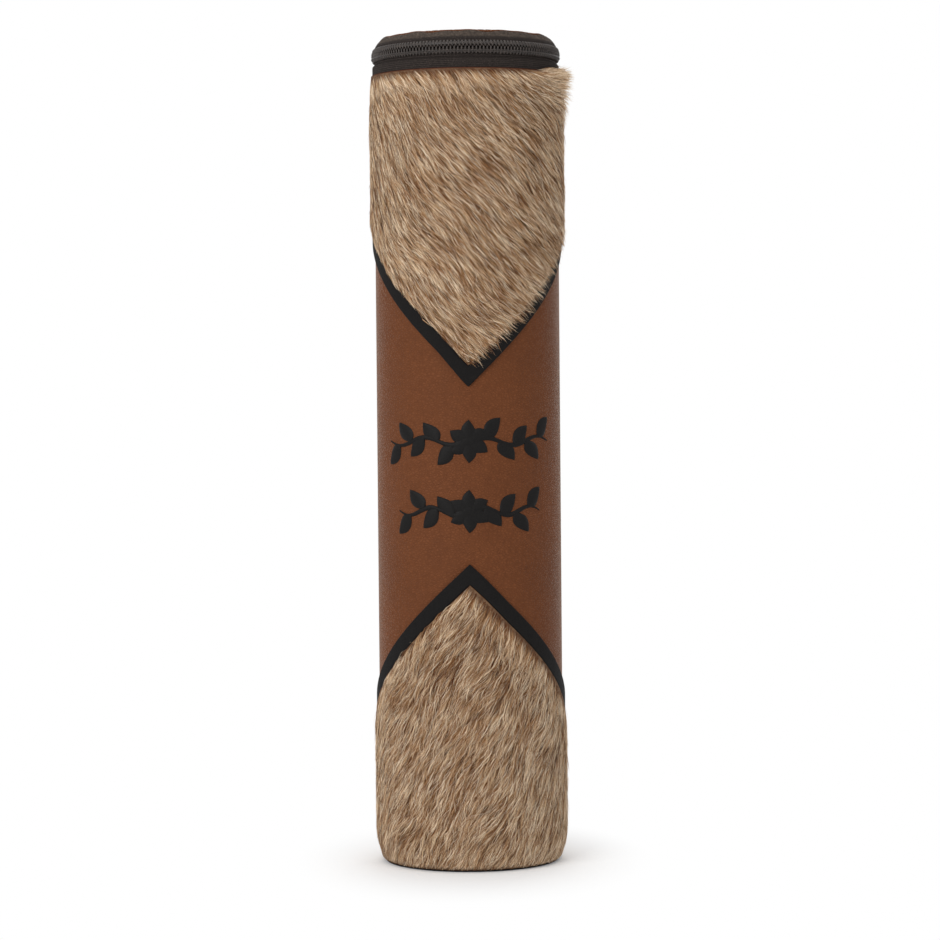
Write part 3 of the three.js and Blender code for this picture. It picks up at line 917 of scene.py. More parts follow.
def make_upper_tape():
    outline = shoulder(*TAPE_FOOT, 3.0)
    short = [(38.2, 346.25)] + [place for place in outline if place[1] > 346.4]
    parts = [band("upper_tape", -LID_ZIP_WAY, LID_ZIP_WAY, outline)]
    for side in (-1, 1):
        ends = sorted((side * LID_ZIP_WAY, side * ZIP_WAY))
        parts.append(band("upper_tape_end", *ends, short))
    for part in parts:
        for corner in part.data.vertices:
            if corner.co.z > 347.4 * MM and corner.co.y < 3.9 * MM:
                corner.co.z += pucker(corner.co.x)
        thicken(part, TAPE, False)
    finish_tape(join(parts, "upper_tape"), "lid", "zip_tape_upper")


tape_end = [TAPE_FOOT, (TAPE_RADIUS, CHAIN_MM + TAPE_END_HEIGHT)]
make_tape("lower_tape", "case", -ZIP_WAY, ZIP_WAY, LOWER_TAPE, "zip_tape_lower")
make_upper_tape()
make_tape("tape_end_right", "case", PARTING, ZIP_WAY, tape_end, "zip_tape_end_right")
make_tape("tape_end_left", "case", -ZIP_WAY, -PARTING, tape_end, "zip_tape_end_left")

# %% [markdown]
# Each half of the chain is a coil of nylon wire, sewn to its tape. One turn is a torus whose two halves
# are pulled apart, and its far half is pressed wider and pushed sideways, as a coil's turns slant, more
# so above. An Array repeats a turn at the pitch of the teeth, and the heads of the upper half lie between
# those of the lower half. A filler cord runs inside the turns, and on the lower half a chain stitch holds
# them from outside. Both halves lean in from the middle of the chain, as it goes round the case's edge.

# %% Chain
PITCH = 1.5 * MM
WIRE = 0.72 * MM
TURN_RADIUS = 0.625 * MM
COIL_MIDDLE = 39.45 * MM
COIL_REACH = 2.95 * MM
COIL_END = STOP_WAY - 0.3 * MM
LEANS_IN = 0.75 * MM
HEADS = {1: 0.2 * MM, -1: 0.5 * MM}
WIDER = {1: 1.55, -1: 1.2}
SLANT = {1: -0.6 * MM, -1: -0.1 * MM}
CHAIN_STITCH = (0.95 * MM, 0.2 * MM, 0.26 * MM)
CHAIN_STITCH_HEIGHT = 1.35 * MM
STANDING = (0, pi / 2, 0)


def coil_turn(side):
    turn = fresh("coil_turns", bpy.ops.mesh.primitive_torus_add, major_segments=12, minor_segments=6,
                 major_radius=TURN_RADIUS - WIRE / 2, minor_radius=WIRE / 2, rotation=STANDING)
    turn.rotation_euler = (radians(15), 0, 0)
    settle(turn)
    straight = COIL_REACH - side * HEADS[side] - 2 * TURN_RADIUS
    for corner in turn.data.vertices:
        if corner.co.z * side > 0:
            corner.co.x = corner.co.x * WIDER[side] + SLANT[side]
            corner.co.z += side * straight
    move(turn, (0, SLEEVE - COIL_MIDDLE, HEADS[side] + side * TURN_RADIUS))
    return turn


def chain_stitch(side):
    one = fresh("chain_stitch", bpy.ops.mesh.primitive_uv_sphere_add, segments=6, ring_count=5,
                radius=1, rotation=STANDING)
    one.scale = CHAIN_STITCH
    one.rotation_euler = (0, radians(9) * side, 0)
    one.location = (0, SLEEVE - COIL_MIDDLE - 0.62 * MM, side * CHAIN_STITCH_HEIGHT)
    return settle(one)


def filler_cord(left, right, side):
    turns = [radians(60 * i) for i in range(7)]
    radius = COIL_MIDDLE / MM
    outline = [(radius + 0.25 * cos(turn), side * 1.75 + 0.6 * sin(turn)) for turn in turns]
    cord = band("filler_cord", left, right, outline)
    close_up(cord)
    return cord


def make_coil(name, body, side, left, right):
    offset = 0.5 if side > 0 else 0.0
    first = ceil((left + 0.75 * MM) / PITCH - offset)
    last = floor((right - 0.4 * MM) / PITCH - offset)
    repeated = [coil_turn(side)] if side > 0 else [coil_turn(side), chain_stitch(side)]
    rows = join([row_of(one, last - first + 1, (PITCH, 0, 0)) for one in repeated], "coil_rows")
    move(rows, ((first + offset) * PITCH, 0, 0))
    coil = join([rows, filler_cord(left + 0.4 * MM, right - 0.4 * MM, side)], name)
    for corner in coil.data.vertices:
        corner.co.y += LEANS_IN * (corner.co.z / COIL_REACH) ** 2
        corner.co.z += CHAIN
    roll(coil)
    dress(coil, body, "zip_coil", ["zip_" + name], sharp=80)


make_coil("coil_lower", "case", -1, -COIL_END, COIL_END)
make_coil("coil_upper", "lid", 1, -LID_ZIP_WAY, LID_ZIP_WAY)
make_coil("coil_end_right", "case", 1, PARTING, COIL_END)
make_coil("coil_end_left", "case", 1, -COIL_END, -PARTING)

# %% [markdown]
# A small metal stop is pressed over the chain at each end. It is a block with a rounded back, wide
# enough to close over both halves.

# %% Stops
STOP_HALF = 0.65 * MM
STOP_REACH = 3.25 * MM

for name, side in (("stop_right", 1), ("stop_left", -1)):
    stop = blank(name, -STOP_HALF, STOP_HALF, -STOP_REACH, STOP_REACH, 2, 8)
    move(stop, (side * (STOP_WAY + ZIP_WAY) / 2, SLEEVE - 38.75 * MM, CHAIN))
    thicken(stop, 1.5 * MM, True, 0.35 * MM)
    roll(stop)
    dress(stop, "case", "dark_metal", ["zip_" + name])

# %% [markdown]
# The strap behind is one length of leather: sewn under the hide below, and over the lid's shoulder and
# under its cover above. It crosses the hinge, so after dressing it is taken off its body again and rides
# on none. It is a closed band, pared thin where it goes under the cover.

# %% Strap
STRAP_OUTSIDE = 40.12
STRAP_INSIDE = 39.12
STRAP_STITCHES = 7
STRAP_STEP = 3.2 * MM

outside = [(STRAP_OUTSIDE, height) for height in (326.1, 333.0, 337.5, 339.4)]
outside += [(STRAP_OUTSIDE, 339.9 + 0.42 * i) for i in range(10)]
outside += shoulder(STRAP_OUTSIDE, 344.6, 3.0)
inside = [(STRAP_INSIDE, height) for radius, height in outside if height < 344.3]
inside += shoulder(STRAP_INSIDE, 344.6, 2.5, 34.2)
strap = band("strap", -STRAP_WAY, STRAP_WAY, outside + inside[::-1] + outside[:1])
close_up(strap)
round_over(strap, 0.22 * MM, 2)
roll(strap)
turn_to(strap, pi)
dress(strap, "case", "brown_leather", ["strap_lower_leaf", "strap_upper_leaf"])
del strap["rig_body"]
strap.parent = None
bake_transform(strap)

row = row_of(stitch("strap_stitches"), STRAP_STITCHES, (STRAP_STEP, 0, 0))
move(row, (-3 * STRAP_STEP, SLEEVE - ON_STRAP + 0.05 * MM, 335.4 * MM))
roll(row)
turn_to(row, pi)
dress(row, "case", "brown_leather", material="seam_thread")

# %% [markdown]
# The lid's cover is a disc of the same leather: a cylinder whose underside is inset and pulled down where
# it is sewn on the tape. The rim is pared thin and rounded, and puckers with the tape. The stitches run
# round the top in a shallow furrow, for which five insets are made and the middle three pressed down.

# %% Lid cover
COVER_RADIUS = 35.2 * MM
COVER_BOTTOM = 348.32 * MM
COVER_TOP = 349.72 * MM
COVER_INSIDE = 29.9 * MM
PARED_FROM = 31 * MM
PARED_RIM = 0.42 * MM
FURROW = 32.9 * MM
FURROW_STEPS = {0.9: 0, 0.35: 0.16, 0: 0.3, -0.35: 0.16, -0.9: 0}
STITCH_LENGTH = 2.5 * MM
STITCH_STEP = 3.25 * MM


def disc(name, radius, bottom, top, vertices=128):
    middle = (0, 0, (bottom + top) / 2)
    return fresh(name, bpy.ops.mesh.primitive_cylinder_add, vertices=vertices, radius=radius,
                 depth=top - bottom, location=middle)


def pick_middle(piece, height):
    edit(piece, lambda co: abs(co.z - height) < 0.01 * MM and co.xy.length < 5 * MM, "FACE")


def inset_middle(piece, height, thickness, depth=0.0):
    pick_middle(piece, height)
    bpy.ops.mesh.inset(thickness=thickness, depth=depth)
    done()


cover = disc("lid_leather", COVER_RADIUS, COVER_BOTTOM, COVER_TOP)
inset_middle(cover, COVER_BOTTOM, COVER_RADIUS - COVER_INSIDE)
pick_middle(cover, COVER_BOTTOM)
bpy.ops.mesh.extrude_region_move(TRANSFORM_OT_translate={"value": (0, 0, -0.6 * MM)})
done()
round_over(cover, 0.6 * MM)
for off in FURROW_STEPS:
    flat = [face for face in cover.data.polygons if face.center.z > COVER_TOP - 0.01 * MM]
    widest = max(flat, key=lambda face: face.area)
    reach = max(cover.data.vertices[index].co.xy.length for index in widest.vertices)
    inset_middle(cover, COVER_TOP, reach - (FURROW + off * MM))
for step in range(6):
    inset_middle(cover, COVER_TOP, 4.6 * MM)
for corner in cover.data.vertices:
    for off, depth in FURROW_STEPS.items():
        at_ring = abs(corner.co.xy.length - (FURROW + off * MM)) < 0.06 * MM
        if at_ring and corner.co.z > COVER_TOP - 0.2 * MM:
            corner.co.z -= depth * MM
    out = step_up(corner.co.xy.length, PARED_FROM, COVER_RADIUS)
    if corner.co.z > COVER_BOTTOM + 0.3 * MM:
        way = atan2(corner.co.x, -corner.co.y) * SLEEVE
        corner.co.z += out * (0.6 * pucker(way + MM) - PARED_RIM)
dress(cover, "lid", "brown_leather", ["lid_cover"])

row = stitch("cover_stitches")
count = round(2 * pi * FURROW / STITCH_STEP)
step = 2 * pi * FURROW / count
row.data.transform(Matrix.Rotation(pi / 2, 4, "X"))
row.data.transform(Matrix.Translation((0, 0, COVER_TOP - 0.5 * MM)))
row_of(row, count, (step, 0, 0))
turn = ((count - 1) * step + STITCH_LENGTH) / FURROW
modify(row, "SIMPLE_DEFORM", deform_method="BEND", deform_axis="Z", angle=turn)
move(row, (0, -FURROW, 0))
dress(row, "lid", "brown_leather", material="seam_thread")

# %% [markdown]
# Inside, the tube's lining is folded over the rim, so its section is an outline like a crook. The floor
# and the lid have flat linings over their boards, with soft round edges. Their weave is laid straight.

# %% Linings
CROOK = [(34.5, 5.45), (35.3, 5.45), (35.3, 336.37), (37.15, 336.37), (37.35, 336.55), (37.35, 336.95)]
CROOK += [(37.15, 337.17), (34.9, 337.17), (34.65, 337.08), (34.5, 336.8), (34.5, 5.45)]
HALF_ROUND = SLEEVE * pi

lining = band("tube_cloth", -HALF_ROUND, HALF_ROUND, CROOK, 2.2 * MM)
lay_flat_map(lining)
roll(lining)
close_up(lining)
dress(lining, "case", "lining_cloth", ["tube_lining"])


def make_flat_lining(name, node, body, radius, bottom, top):
    cloth = disc(name, radius, bottom, top, 96)
    round_over(cloth, 0.3 * MM)
    lay_flat_map(cloth)
    dress(cloth, body, "lining_cloth", [node])


make_flat_lining("floor_cloth", "base_lining", "case", 35.3 * MM, 4.4 * MM, 5.2 * MM)
make_flat_lining("lid_cloth", "lid_lining", "lid", 35.5 * MM, 344.8 * MM, 345.6 * MM)

# %% [markdown]
# The base is covered with black leather, a disc a little smaller than the sleeve, with a rounded edge.
# Seen from below it has a shallow pressed ring.

# %% Base cover
BASE_RADIUS = 36.9 * MM
BASE_THICKNESS = 1.4 * MM

base = disc("base_leather", BASE_RADIUS, 0, BASE_THICKNESS)
inset_middle(base, 0, 4 * MM)
inset_middle(base, 0, 0.5 * MM, -0.25 * MM)
round_over(base, 0.4 * MM)
dress(base, "case", "black_leather", ["base_cover"])

# %% [markdown]
# The slider is cast: an outer plate with lips that wrap the chain, an inner plate, a wedge between them
# that parts the two halves, and a bail that the pull hangs on. The plates are blanks with their corners
# cut off, thickened and rolled. The bail is a half circle of wire, drawn as a curve, which is quicker to
# place than a bent cylinder. All is made at the front and then turned to where it parks.

# %% Slider
PLATE_HALF = 6 * MM
PLATE_REACH = 4.1 * MM
PLATE_THICKNESS = 0.8 * MM
CUT_CORNER = 1.5 * MM
BAIL_HALF = 3.7 * MM
BAIL_FOOT = 41.19 * MM
BAIL_CROWN = 43.59 * MM


def drawn(name, outlines, closed, **settings):
    """A curve through the points of each outline, thickened by its settings and then made a mesh."""
    data = bpy.data.curves.new(name, "CURVE")
    for setting, value in settings.items():
        setattr(data, setting, value)
    for outline in outlines:
        line = data.splines.new("POLY")
        line.points.add(len(outline) - 1)
        for knot, place in zip(line.points, outline):
            knot.co = (*place, 1)
        line.use_cyclic_u = closed
    pick(shown(name, data))
    bpy.ops.object.convert(target="MESH")
    return bpy.context.object


def wire(name, places, thickness, closed=False):
    size = {"bevel_depth": thickness / 2, "bevel_resolution": 3, "use_fill_caps": not closed}
    return drawn(name, [places], closed, dimensions="3D", **size)


def half_turn(count=24):
    return [pi * i / count for i in range(count + 1)]


def plate(name, radius):
    sheet = blank(name, -PLATE_HALF, PLATE_HALF, -PLATE_REACH, PLATE_REACH, 12, 8)
    for side, up in ((-1, -1), (-1, 1), (1, -1), (1, 1)):
        edit(sheet)
        place = (side * (PLATE_HALF - CUT_CORNER), 0, up * PLATE_REACH)
        bpy.ops.mesh.bisect(plane_co=place, plane_no=(side, 0, up), clear_outer=True)
        done()
    edit(sheet)
    bpy.ops.mesh.dissolve_limited(angle_limit=0.01)
    done()
    edit(sheet)
    for way in range(-5, 6):
        bpy.ops.mesh.select_all(action="SELECT")
        bpy.ops.mesh.bisect(plane_co=(way * MM, 0, 0), plane_no=(1, 0, 0))
    done()
    move(sheet, (0, SLEEVE - radius, CHAIN))
    thicken(sheet, PLATE_THICKNESS, True, 0.22 * MM)
    return sheet


def lip(side):
    flange = blank("lip", -5.2 * MM, 5.2 * MM, 0, 0.9 * MM, 10, 1)
    move(flange, (0, SLEEVE - 39.45 * MM, CHAIN + side * 3.6 * MM - 0.45 * MM))
    thicken(flange, 1.75 * MM, True, 0.2 * MM, 2)
    return flange


def wedge():
    block = blank("wedge", 1.5 * MM, 5.6 * MM, -0.2 * MM, 0.2 * MM, 4, 1)
    move(block, (0, SLEEVE - 37.1 * MM, CHAIN))
    thicken(block, 4.1 * MM, True)
    return block


def bail():
    rise = BAIL_CROWN - BAIL_FOOT
    places = [
        (-BAIL_HALF * cos(turn), -(BAIL_FOOT + rise * sin(turn) ** 0.8), CHAIN)
        for turn in half_turn()
    ]
    return wire("bail", places, 0.8 * MM)


parts = [plate("outer_plate", 40.79 * MM), plate("inner_plate", 36.67 * MM), lip(1), lip(-1), wedge()]
slider = join(parts, "slider")
roll(slider)
slider = join([slider, bail()], "slider")
turn_to(slider, SLIDER_TURN)
dress(slider, "slider", "dark_metal", ["slider_body"])

# %% [markdown]
# The ring is a torus of wire. The pull tab is a plate with a hole, wider and round at its end. A flat
# curve with two outlines makes both the shape and the hole at once, with rounded edges all round, and is
# then made a mesh. A raised rim on both faces is a wire along its outline.

# %% Ring and pull tab
RING_RADIUS = 44.56 * MM
RING_HEIGHT = 341.2 * MM
TAB_TOP = RING_HEIGHT - 0.8 * MM
TAB_LENGTH = 24 * MM
TAB_TOP_HALF = 2.3 * MM
TAB_END = 3.5 * MM
TAB_EDGE = 0.15 * MM
HOLE_HALF = MM
HOLE_TOP = TAB_TOP - 0.8 * MM
HOLE_LOW = TAB_TOP - 2.9 * MM
RIM_INSET = 0.75 * MM
RIM_RISE = 0.5 * MM


def tab_outline(inset):
    low = TAB_TOP - TAB_LENGTH + TAB_END
    reach = TAB_END - inset
    half = TAB_TOP_HALF - inset
    round_end = [(reach * cos(turn), low - reach * sin(turn)) for turn in half_turn()]
    return [(-half, TAB_TOP - inset), (half, TAB_TOP - inset)] + round_end


ring = fresh("pull_loop", bpy.ops.mesh.primitive_torus_add, major_segments=40, minor_segments=12,
             major_radius=2.25 * MM, minor_radius=0.45 * MM, location=(0, -RING_RADIUS, RING_HEIGHT),
             rotation=STANDING)
turn_to(ring, SLIDER_TURN)
dress(ring, "pull", "dark_metal", ["pull_ring"])

half = HOLE_HALF + TAB_EDGE
hole = [(-half, HOLE_TOP + TAB_EDGE), (half, HOLE_TOP + TAB_EDGE)]
hole += [(half, HOLE_LOW - TAB_EDGE), (-half, HOLE_LOW - TAB_EDGE)]
outlines = [[(*place, 0) for place in outline] for outline in (tab_outline(TAB_EDGE), hole)]
tab = drawn("tab", outlines, True, dimensions="2D", fill_mode="BOTH", extrude=0.4 * MM,
            bevel_depth=TAB_EDGE, bevel_resolution=2)
tab.rotation_euler = (pi / 2, 0, 0)
tab.location = (0, -RING_RADIUS, 0)
parts = [settle(tab)]
for face in (-1, 1):
    line = [(way, -RING_RADIUS + face * RIM_RISE, height) for way, height in tab_outline(RIM_INSET)]
    parts.append(wire("tab_rim", line, 0.35 * MM, True))
tab = join(parts, "pull_plate")
turn_to(tab, SLIDER_TURN)
dress(tab, "pull", "dark_metal", ["pull_tab"])

# %% [markdown]
# The hair is short and lies combed one way on each panel, in slim locks whose tips draw together and lie
# over the roots of the next ones like shingles. Blender's own hair is not kept in a mesh export, and a
# bump pattern has no loose ends, so each hair is a thin tapering ribbon, written straight into a mesh.
# Smooth random fields bend the combing, shade it in patches and make the rows of locks wander, all from
# fixed seeds.

# %% Fields and locks
LOCK_ACROSS = 0.75 * MM
LOCK_ALONG = 3.1 * MM
LOCK_WANDERS = 14 * MM
COLUMNS = 4096
LOCKS = 65536


def field(seed, size, way, height):
    """A smooth field over a panel, about -1 to 1, with hills about size across."""
    dice = np.random.default_rng(seed)
    turns = dice.uniform(0, 2 * pi, 8)
    sizes = size * dice.uniform(0.7, 1.6, 8)
    starts = dice.uniform(0, 2 * pi, 8)
    waves = [
        np.sin(2 * pi * (way * cos(turn) + height * sin(turn)) / size + start)
        for turn, size, start in zip(turns, sizes, starts)
    ]
    return sum(waves) / 3.2


def locks(seed, way, height, combed):
    """The lock of each hair: five numbers from -1 to 1, and how far it lies off the lock's middle."""
    dice = np.random.default_rng(seed)
    along = way * cos(combed) + height * sin(combed)
    across = height * cos(combed) - way * sin(combed)
    across = across + 0.8 * LOCK_ACROSS * field(seed + 1, LOCK_WANDERS, way, height)
    column = np.floor(across / LOCK_ACROSS).astype(int)
    starts = dice.uniform(0, 1, COLUMNS)[column % COLUMNS]
    row = np.floor(along / LOCK_ALONG + starts).astype(int)
    values = dice.uniform(-1, 1, (LOCKS, 5))[(column * 7919 + row * 104729) % LOCKS]
    off_across = across - (column + 0.5) * LOCK_ACROSS
    off_along = along - (row + 0.5 - starts) * LOCK_ALONG
    return values.T, off_across, off_along


# %% [markdown]
# The mesh of a coat: five levels a hair, a pair of corners at each and one at the tip. A hair's levels
# run along its heading in the flat, draw towards the middle of its lock, and then go round the tube at
# the radius of the skin plus the hair's lift.

# %% Hairs into a mesh
LEVELS = np.linspace(0, 1, 5)
RISE = np.array([0, 0.42, 0.72, 0.92, 1])
TAPER = np.array([0.85, 1, 0.85, 0.5, 0])
LOWEST_HAIR = 0.5 * MM
ROOT_DEPTH = 0.1 * MM


def hair_levels(hair):
    """Way, height and direction of each hair at its five levels."""
    middles = (LEVELS[1:] + LEVELS[:-1]) / 2
    turns = hair["heading"] + hair["bend"] * (middles - 0.3)
    turns = turns + hair["wave"] * np.sin(2 * pi * (middles + hair["start"]))
    pace = hair["length"] / 4
    zero = np.zeros((len(turns), 1))
    ways = hair["way"] + np.hstack([zero, np.cumsum(np.cos(turns) * pace, 1)])
    heights = hair["height"] + np.hstack([zero, np.cumsum(np.sin(turns) * pace, 1)])
    drawn_in = hair["drawn"] * LEVELS ** 1.3
    ways = ways + np.sin(hair["heading"]) * drawn_in
    heights = heights - np.cos(hair["heading"]) * drawn_in
    return ways, np.maximum(heights, LOWEST_HAIR), np.hstack([turns, turns[:, -1:]])


def coat_mesh(name, hair, skin):
    hair = {key: values[:, None] for key, values in hair.items()}
    ways, heights, turns = hair_levels(hair)
    count = len(ways)
    rise = RISE * (1 - hair["stands"]) + LEVELS ** 1.5 * hair["stands"]
    radii = skin(heights) - ROOT_DEPTH * (1 - LEVELS) ** 2 + hair["lift"] * rise
    around = ways / SLEEVE
    outward = np.stack([np.sin(around), -np.cos(around), 0 * around], -1)
    onward = np.stack([np.cos(around), np.sin(around), 0 * around], -1)
    places = outward * radii[..., None]
    places[..., 2] = heights
    across = -np.sin(turns)[..., None] * onward
    across[..., 2] += np.cos(turns)
    tilt = hair["tilt"][..., None]
    side = np.cos(tilt) * across + np.sin(tilt) * outward
    half = (hair["width"] / 2)[..., None] * TAPER[None, :, None] * side
    corners = np.concatenate([places[:, :4] - half[:, :4], places[:, :4] + half[:, :4], places[:, 4:]], 1)
    first = 9 * np.arange(count)[:, None]
    quads = [first + np.array([i, i + 1, i + 5, i + 4]) for i in range(3)]
    faces = np.vstack(quads).tolist() + (first + np.array([3, 8, 7])).tolist()
    mesh = bpy.data.meshes.new(name)
    mesh.from_pydata(corners.reshape(-1, 3).tolist(), [], faces)
    columns = np.floor(np.clip(hair["tone"], 0, 0.999) * TONES)
    along = np.tile(np.array([0, 0.25, 0.5, 0.75, 0, 0.25, 0.5, 0.75, 1]), (count, 1))
    share = np.array([0.15] * 4 + [0.85] * 4 + [0.5])
    uv = np.stack([(columns + share) / TONES, 0.02 + 0.96 * along], -1).reshape(-1, 2)
    used = np.empty(len(mesh.loops), int)
    mesh.loops.foreach_get("vertex_index", used)
    mesh.uv_layers.new(name=HAIR_MAP).data.foreach_set("uv", uv[used].astype(np.float32).ravel())
    mesh.polygons.foreach_set("use_smooth", [True] * len(mesh.polygons))
    mesh.materials.append(FINISHES["hair"])
    piece = shown(name, mesh)
    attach(piece, "case")
    print(f"{name}: {count} hairs, {7 * count} triangles")


# %% [markdown]
# What both panels' hairs share. Hairs near the middle of a lock lie highest and are the longest, and each
# ribbon tilts with the lock's round back, so that a lock has a light and a dark side. Hairs that lie high
# or near a lock's middle are painted lighter, and those that lie deep or at its edge darker, as painted
# light and shade. One hair in a hundred strays, and one in six is much lighter than its neighbours.

# %% Growing hairs
HAIRS_EACH_SIDE = 31000
TRIES = 4 * HAIRS_EACH_SIDE
EDGE_SHARE = 0.1
EDGE_ROW = 1.2 * MM
STRAYS = 0.01
NO_STRAYS_ABOVE = HIDE_TOP - 9 * MM
LIGHT_SHARE = 0.16
MIDDLE_TONE = 0.35
SHORTEST = 6 * MM
LONGEST = 19 * MM


def roots(dice, side, low, high):
    """Places spread evenly over one side of a panel, and a row of more along its upper edge."""
    way = dice.uniform(0, SEAM_WAY, TRIES) * side
    height = dice.uniform(0, HIDE_TOP, TRIES)
    inside = (height > low(way)) & (height < high(way))
    way, height = way[inside][:HAIRS_EACH_SIDE], height[inside][:HAIRS_EACH_SIDE]
    near = dice.random(len(way)) < EDGE_SHARE
    at_edge = high(way) - EDGE_ROW * dice.random(len(way))
    return way, np.where(near, np.maximum(at_edge, low(way)), height)


def grow(dice, seed, way, height, heading, combed, length, wave):
    """The hairs on these roots, length in mm and wave in degrees."""
    count = len(way)
    lock, off_across, off_along = locks(seed, way, height, combed)
    off = 2 * off_across / LOCK_ACROSS
    stray = (dice.random(count) < STRAYS) & (height < NO_STRAYS_ABOVE)
    heading = heading + radians(5) * field(seed + 7, 7 * MM, way, height)
    heading = heading + radians(0.9 * wave) * lock[0] + radians(4) * dice.normal(0, 1, count)
    heading = heading + stray * dice.normal(0, 0.5, count)
    sideways = off_along * np.sin(combed - heading) + off_across * np.cos(combed - heading)
    layer = dice.random(count)
    back = 1 - off * off
    high = 0.25 + 0.3 * layer + 0.3 * back + 0.22 * lock[3] + 0.7 * stray
    # Painted light and shade: the tone rises with how high a hair lies and how near the lock's middle.
    tone = MIDDLE_TONE + 0.42 * (layer - 0.5) + 0.5 * (back - 0.66) + 0.2 * lock[2]
    tone = tone + 0.23 * dice.normal(0, 1, count)
    tone = np.where(dice.random(count) < LIGHT_SHARE, tone + 0.5, tone)
    return {
        "way": way,
        "height": height,
        "heading": heading,
        "length": (length + 1.8 * lock[1] + 1.6 * dice.normal(0, 1, count) - 2 * off * off) * MM,
        "bend": radians(9) * lock[3] + radians(5) * dice.normal(0, 1, count),
        "wave": radians(wave) * (1 + 0.6 * lock[1]),
        "start": 0.5 * lock[0] + 0.05 * dice.normal(0, 1, count),
        "drawn": (0.75 + 0.2 * lock[4]) * sideways * (1 - stray),
        "lift": np.maximum(high, 0.1) * MM,
        "stands": np.zeros(count),
        "width": (0.13 + 0.13 * dice.random(count) ** 1.5) * MM,
        "tilt": 0.35 * dice.normal(0, 1, count) - 0.6 * off,
        "tone": tone,
        "layer": layer,
    }


def trim(hair, low, over):
    """Evens the lengths, and shortens hairs that reach more than over past the hide's lower edge."""
    way, height, heading = hair["way"], hair["height"], hair["heading"]
    length = np.clip(hair["length"], SHORTEST, LONGEST)
    depth = height - low(way)
    tip = height + length * np.sin(heading) - low(way + length * np.cos(heading))
    share = (depth + over) / np.maximum(depth - tip, 0.01 * MM)
    hair["length"] = length * np.clip(np.where(tip < -over, share, 1), 0.12, 1)


# %% [markdown]
# The upper panel is combed down and to the right, steeper on the left. Near its top on the right the hair
# lies level, is lighter and stands off in a tuft. Hair that runs over the cut edge is trimmed: short along
# the left strip, and left hanging as a fringe over the right one.

# %% Upper coat
UPPER_COMBED = radians(-49)
TUFT_LIFT = 5.5 * MM
FRINGE = 7.5
SIDES = {-1: "left", 1: "right"}

for side, word in SIDES.items():
    dice = np.random.default_rng(40 + side)
    way, height = roots(dice, side, upper_hide_low, lambda way: HIDE_TOP - 0.15 * MM)
    angle = way / SLEEVE
    tuft = step_up(height, 316 * MM, 329 * MM) * step_up(angle, 0.4, 1.0)
    tuft = tuft * (1 - step_up(angle, 1.5, 2.1))
    top = step_up(height, 321 * MM, 333 * MM)
    slope = 47 - 9 * np.sin(angle) + 3 * step_up(height, 220 * MM, 300 * MM)
    slope = slope + 7 * field(9, 34 * MM, way, height)
    slope = slope * (1 - tuft) + (20 - 26 * top) * tuft
    hair = grow(dice, 5, way, height, -np.radians(slope), UPPER_COMBED, 10.3, 10)
    fringe = 0.8 + FRINGE * dice.random(len(way)) ** 3.5
    trimmed = (0.5 + 1.2 * np.clip(-angle - 0.45, 0, 1)) * dice.random(len(way))
    trim(hair, upper_hide_low, np.where(way > 0, fringe, trimmed) * MM)
    hair["lift"] *= 1 + 0.4 * np.sin(angle) + 0.3 * field(51, 22 * MM, way, height)
    hair["lift"] += TUFT_LIFT * tuft * hair["layer"] ** 1.3
    hair["stands"] = tuft
    # Painted light: the hair is painted lighter towards its sides, more so on the left, the side the main
    # lamp lights.
    painted_side_light = 0.23 * np.maximum(-np.sin(angle), 0) + 0.09 * np.sin(angle)
    hair["tone"] += 0.08 * field(13, 22 * MM, way, height) + painted_side_light + 0.2 * tuft
    coat_mesh("upper_coat_" + word, hair, upper_radius)

# %% [markdown]
# The lower panel is combed down and to the left, and its hair is wavier. It starts cleanly at the strips,
# where it is combed straighter down, and is trimmed at the base, where the hide turns in.

# %% Lower coat
LOWER_SLOPE = 63
LOWER_COMBED = radians(62 - 180)
LEAST_TURN, MOST_TURN = radians(-128), radians(-80)
LOWEST_ROOT = 1.4 * MM
TRIMMED_AT = 1.2 * MM

for side, word in SIDES.items():
    dice = np.random.default_rng(60 + side)
    way, height = roots(dice, side, lambda way: LOWEST_ROOT, lambda way: lower_hide_high(way) - 0.05 * MM)
    slope = LOWER_SLOPE + 9 * field(29, 24 * MM, way, height)
    hair = grow(dice, 25, way, height, np.radians(slope - 180), LOWER_COMBED, 10.5, 15)
    near_strip = lower_hide_high(way) - height < 8 * MM
    steeper = np.clip(hair["heading"], LEAST_TURN, MOST_TURN)
    hair["heading"] = np.where(near_strip, steeper, hair["heading"])
    trim(hair, lambda way: TRIMMED_AT, 0 * way)
    hair["lift"] *= 0.3 + 0.7 * step_up(height, 4 * MM, 24 * MM)
    # Painted light: the hair is painted lighter towards both sides, more so on the right.
    side_for_painted_light = np.sin(way / SLEEVE)
    hair["tone"] += 0.08 * field(33, 20 * MM, way, height) + 0.05 * side_for_painted_light + 0.14 * side_for_painted_light ** 2
    hair["tone"] += 0.05 - 0.08 * step_up(height, 60 * MM, 82 * MM)
    coat_mesh("lower_coat_" + word, hair, lower_radius)

# %% [markdown]
# The case stands on a plain white floor in front of nothing. The floor must look white and still keep
# the case's shadow, so for the camera and mirrored rays it is part white light and part lit surface, and
# further away plain white. The light that it throws back on the case is that of a lit surface alone.

# %% Floor and surroundings
WHITE = (1, 1, 1, 1)
SEEN_RAYS = ("Is Camera Ray", "Is Glossy Ray", "Is Transmission Ray")


def seen_directly(finish):
    path = finish.node("LightPath", {}, {}).socket.node.outputs
    camera_ray, glossy_ray, clear_ray = [Wire(finish, path[name]) for name in SEEN_RAYS]
    return (camera_ray + glossy_ray + clear_ray) > 0.5


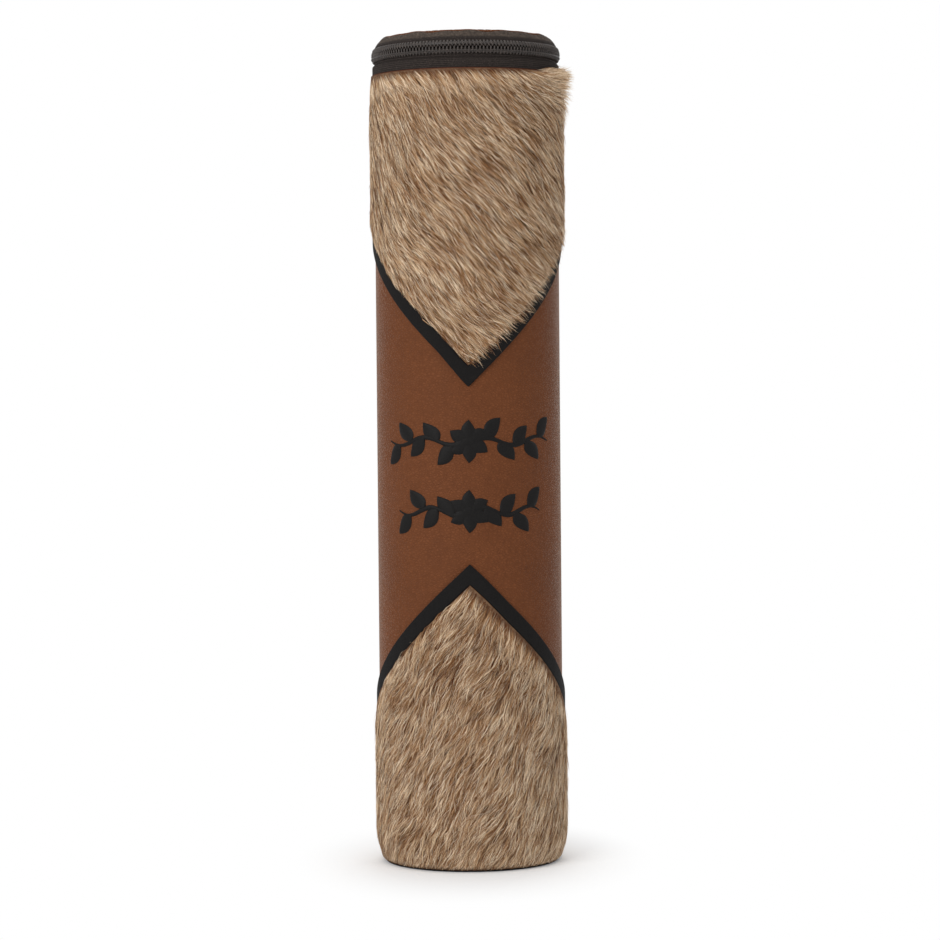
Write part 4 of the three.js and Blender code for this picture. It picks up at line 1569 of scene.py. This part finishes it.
finish = Finish("floor", Base_Color=WHITE, Roughness=1, Specular_IOR_Level=0)
narrow = finish.vectors("MULTIPLY", {0: finish.place(), 1: (1.5, 1, 1)})
distance = finish.vectors("LENGTH", {0: narrow}, "Value")
share = 0.1 + 0.9 * distance.ramp(0.05, 0.12)
white = finish.node("Emission", {}, {"Color": WHITE, "Strength": 1})
lit = Wire(finish, finish.shader.outputs[0])
mixed = finish.node("MixShader", {}, {0: seen_directly(finish) * share, 1: lit, 2: white})
finish.join(finish.tree.nodes["Material Output"].inputs[0], mixed)
ground = fresh("floor", bpy.ops.mesh.primitive_plane_add, size=30, location=(0, 0, -0.1 * MM))
ground.data.materials.append(finish.material)
ground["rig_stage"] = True

world = bpy.data.worlds.new("studio")
bpy.context.scene.world = world
studio = Finish("studio", world, "Background", Color=WHITE)
studio.feed(Strength=0.5 + 0.5 * seen_directly(studio))

# %% [markdown]
# Large area lamps give a soft light from the front and a little from the left, so that the case darkens
# slightly towards its right side. None is strong: a colour should render about as it is written. The
# camera looks as the photograph does: from 1.3 metres away, a little above the case's middle and slightly
# down. The case leans half a degree to the left in it, which is the camera's own lean.

# %% Lamps and camera
MIDDLE = Vector((0, 0, 0.18))
EYE = Vector((0.4 * MM, -1280 * MM, 205 * MM))
AIM = Vector((0.4 * MM, 0, 166.2 * MM))
LEAN = radians(0.5)


def facing(step):
    return step.to_track_quat("-Z", "Y").to_matrix().to_4x4()


def soft_lamp(name, place, size, power):
    data = bpy.data.lights.new(name, "AREA")
    data.size = size
    data.energy = power
    shown(name, data).matrix_world = Matrix.Translation(place) @ facing(MIDDLE - Vector(place))


soft_lamp("left_front", (-1.1, -1.5, 0.9), 1.2, 19)
soft_lamp("right_front", (1.5, -1.3, 0.7), 1.2, 2.5)
soft_lamp("above", (0, 0.1, 1.9), 1.4, 10)
soft_lamp("behind", (0.3, 1.9, 1.0), 1.4, 10)

view = bpy.data.cameras.new("camera")
view.lens = 115
view.sensor_width = 36
view.clip_start = 0.01
camera = shown("camera", view)
camera.matrix_world = Matrix.Translation(EYE) @ facing(AIM - EYE) @ Matrix.Rotation(-LEAN, 4, "Z")
bpy.context.scene.camera = camera
bpy.context.scene.view_settings.view_transform = "Standard"
print("camera to case in mm:", round((AIM - EYE).length / MM))

# %% [markdown]
# Last, the dressed model's box is measured and printed.

# %% Sizes and finish
low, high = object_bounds()
print("dressed box in mm:", [round(1000 * side, 2) for side in high - low])
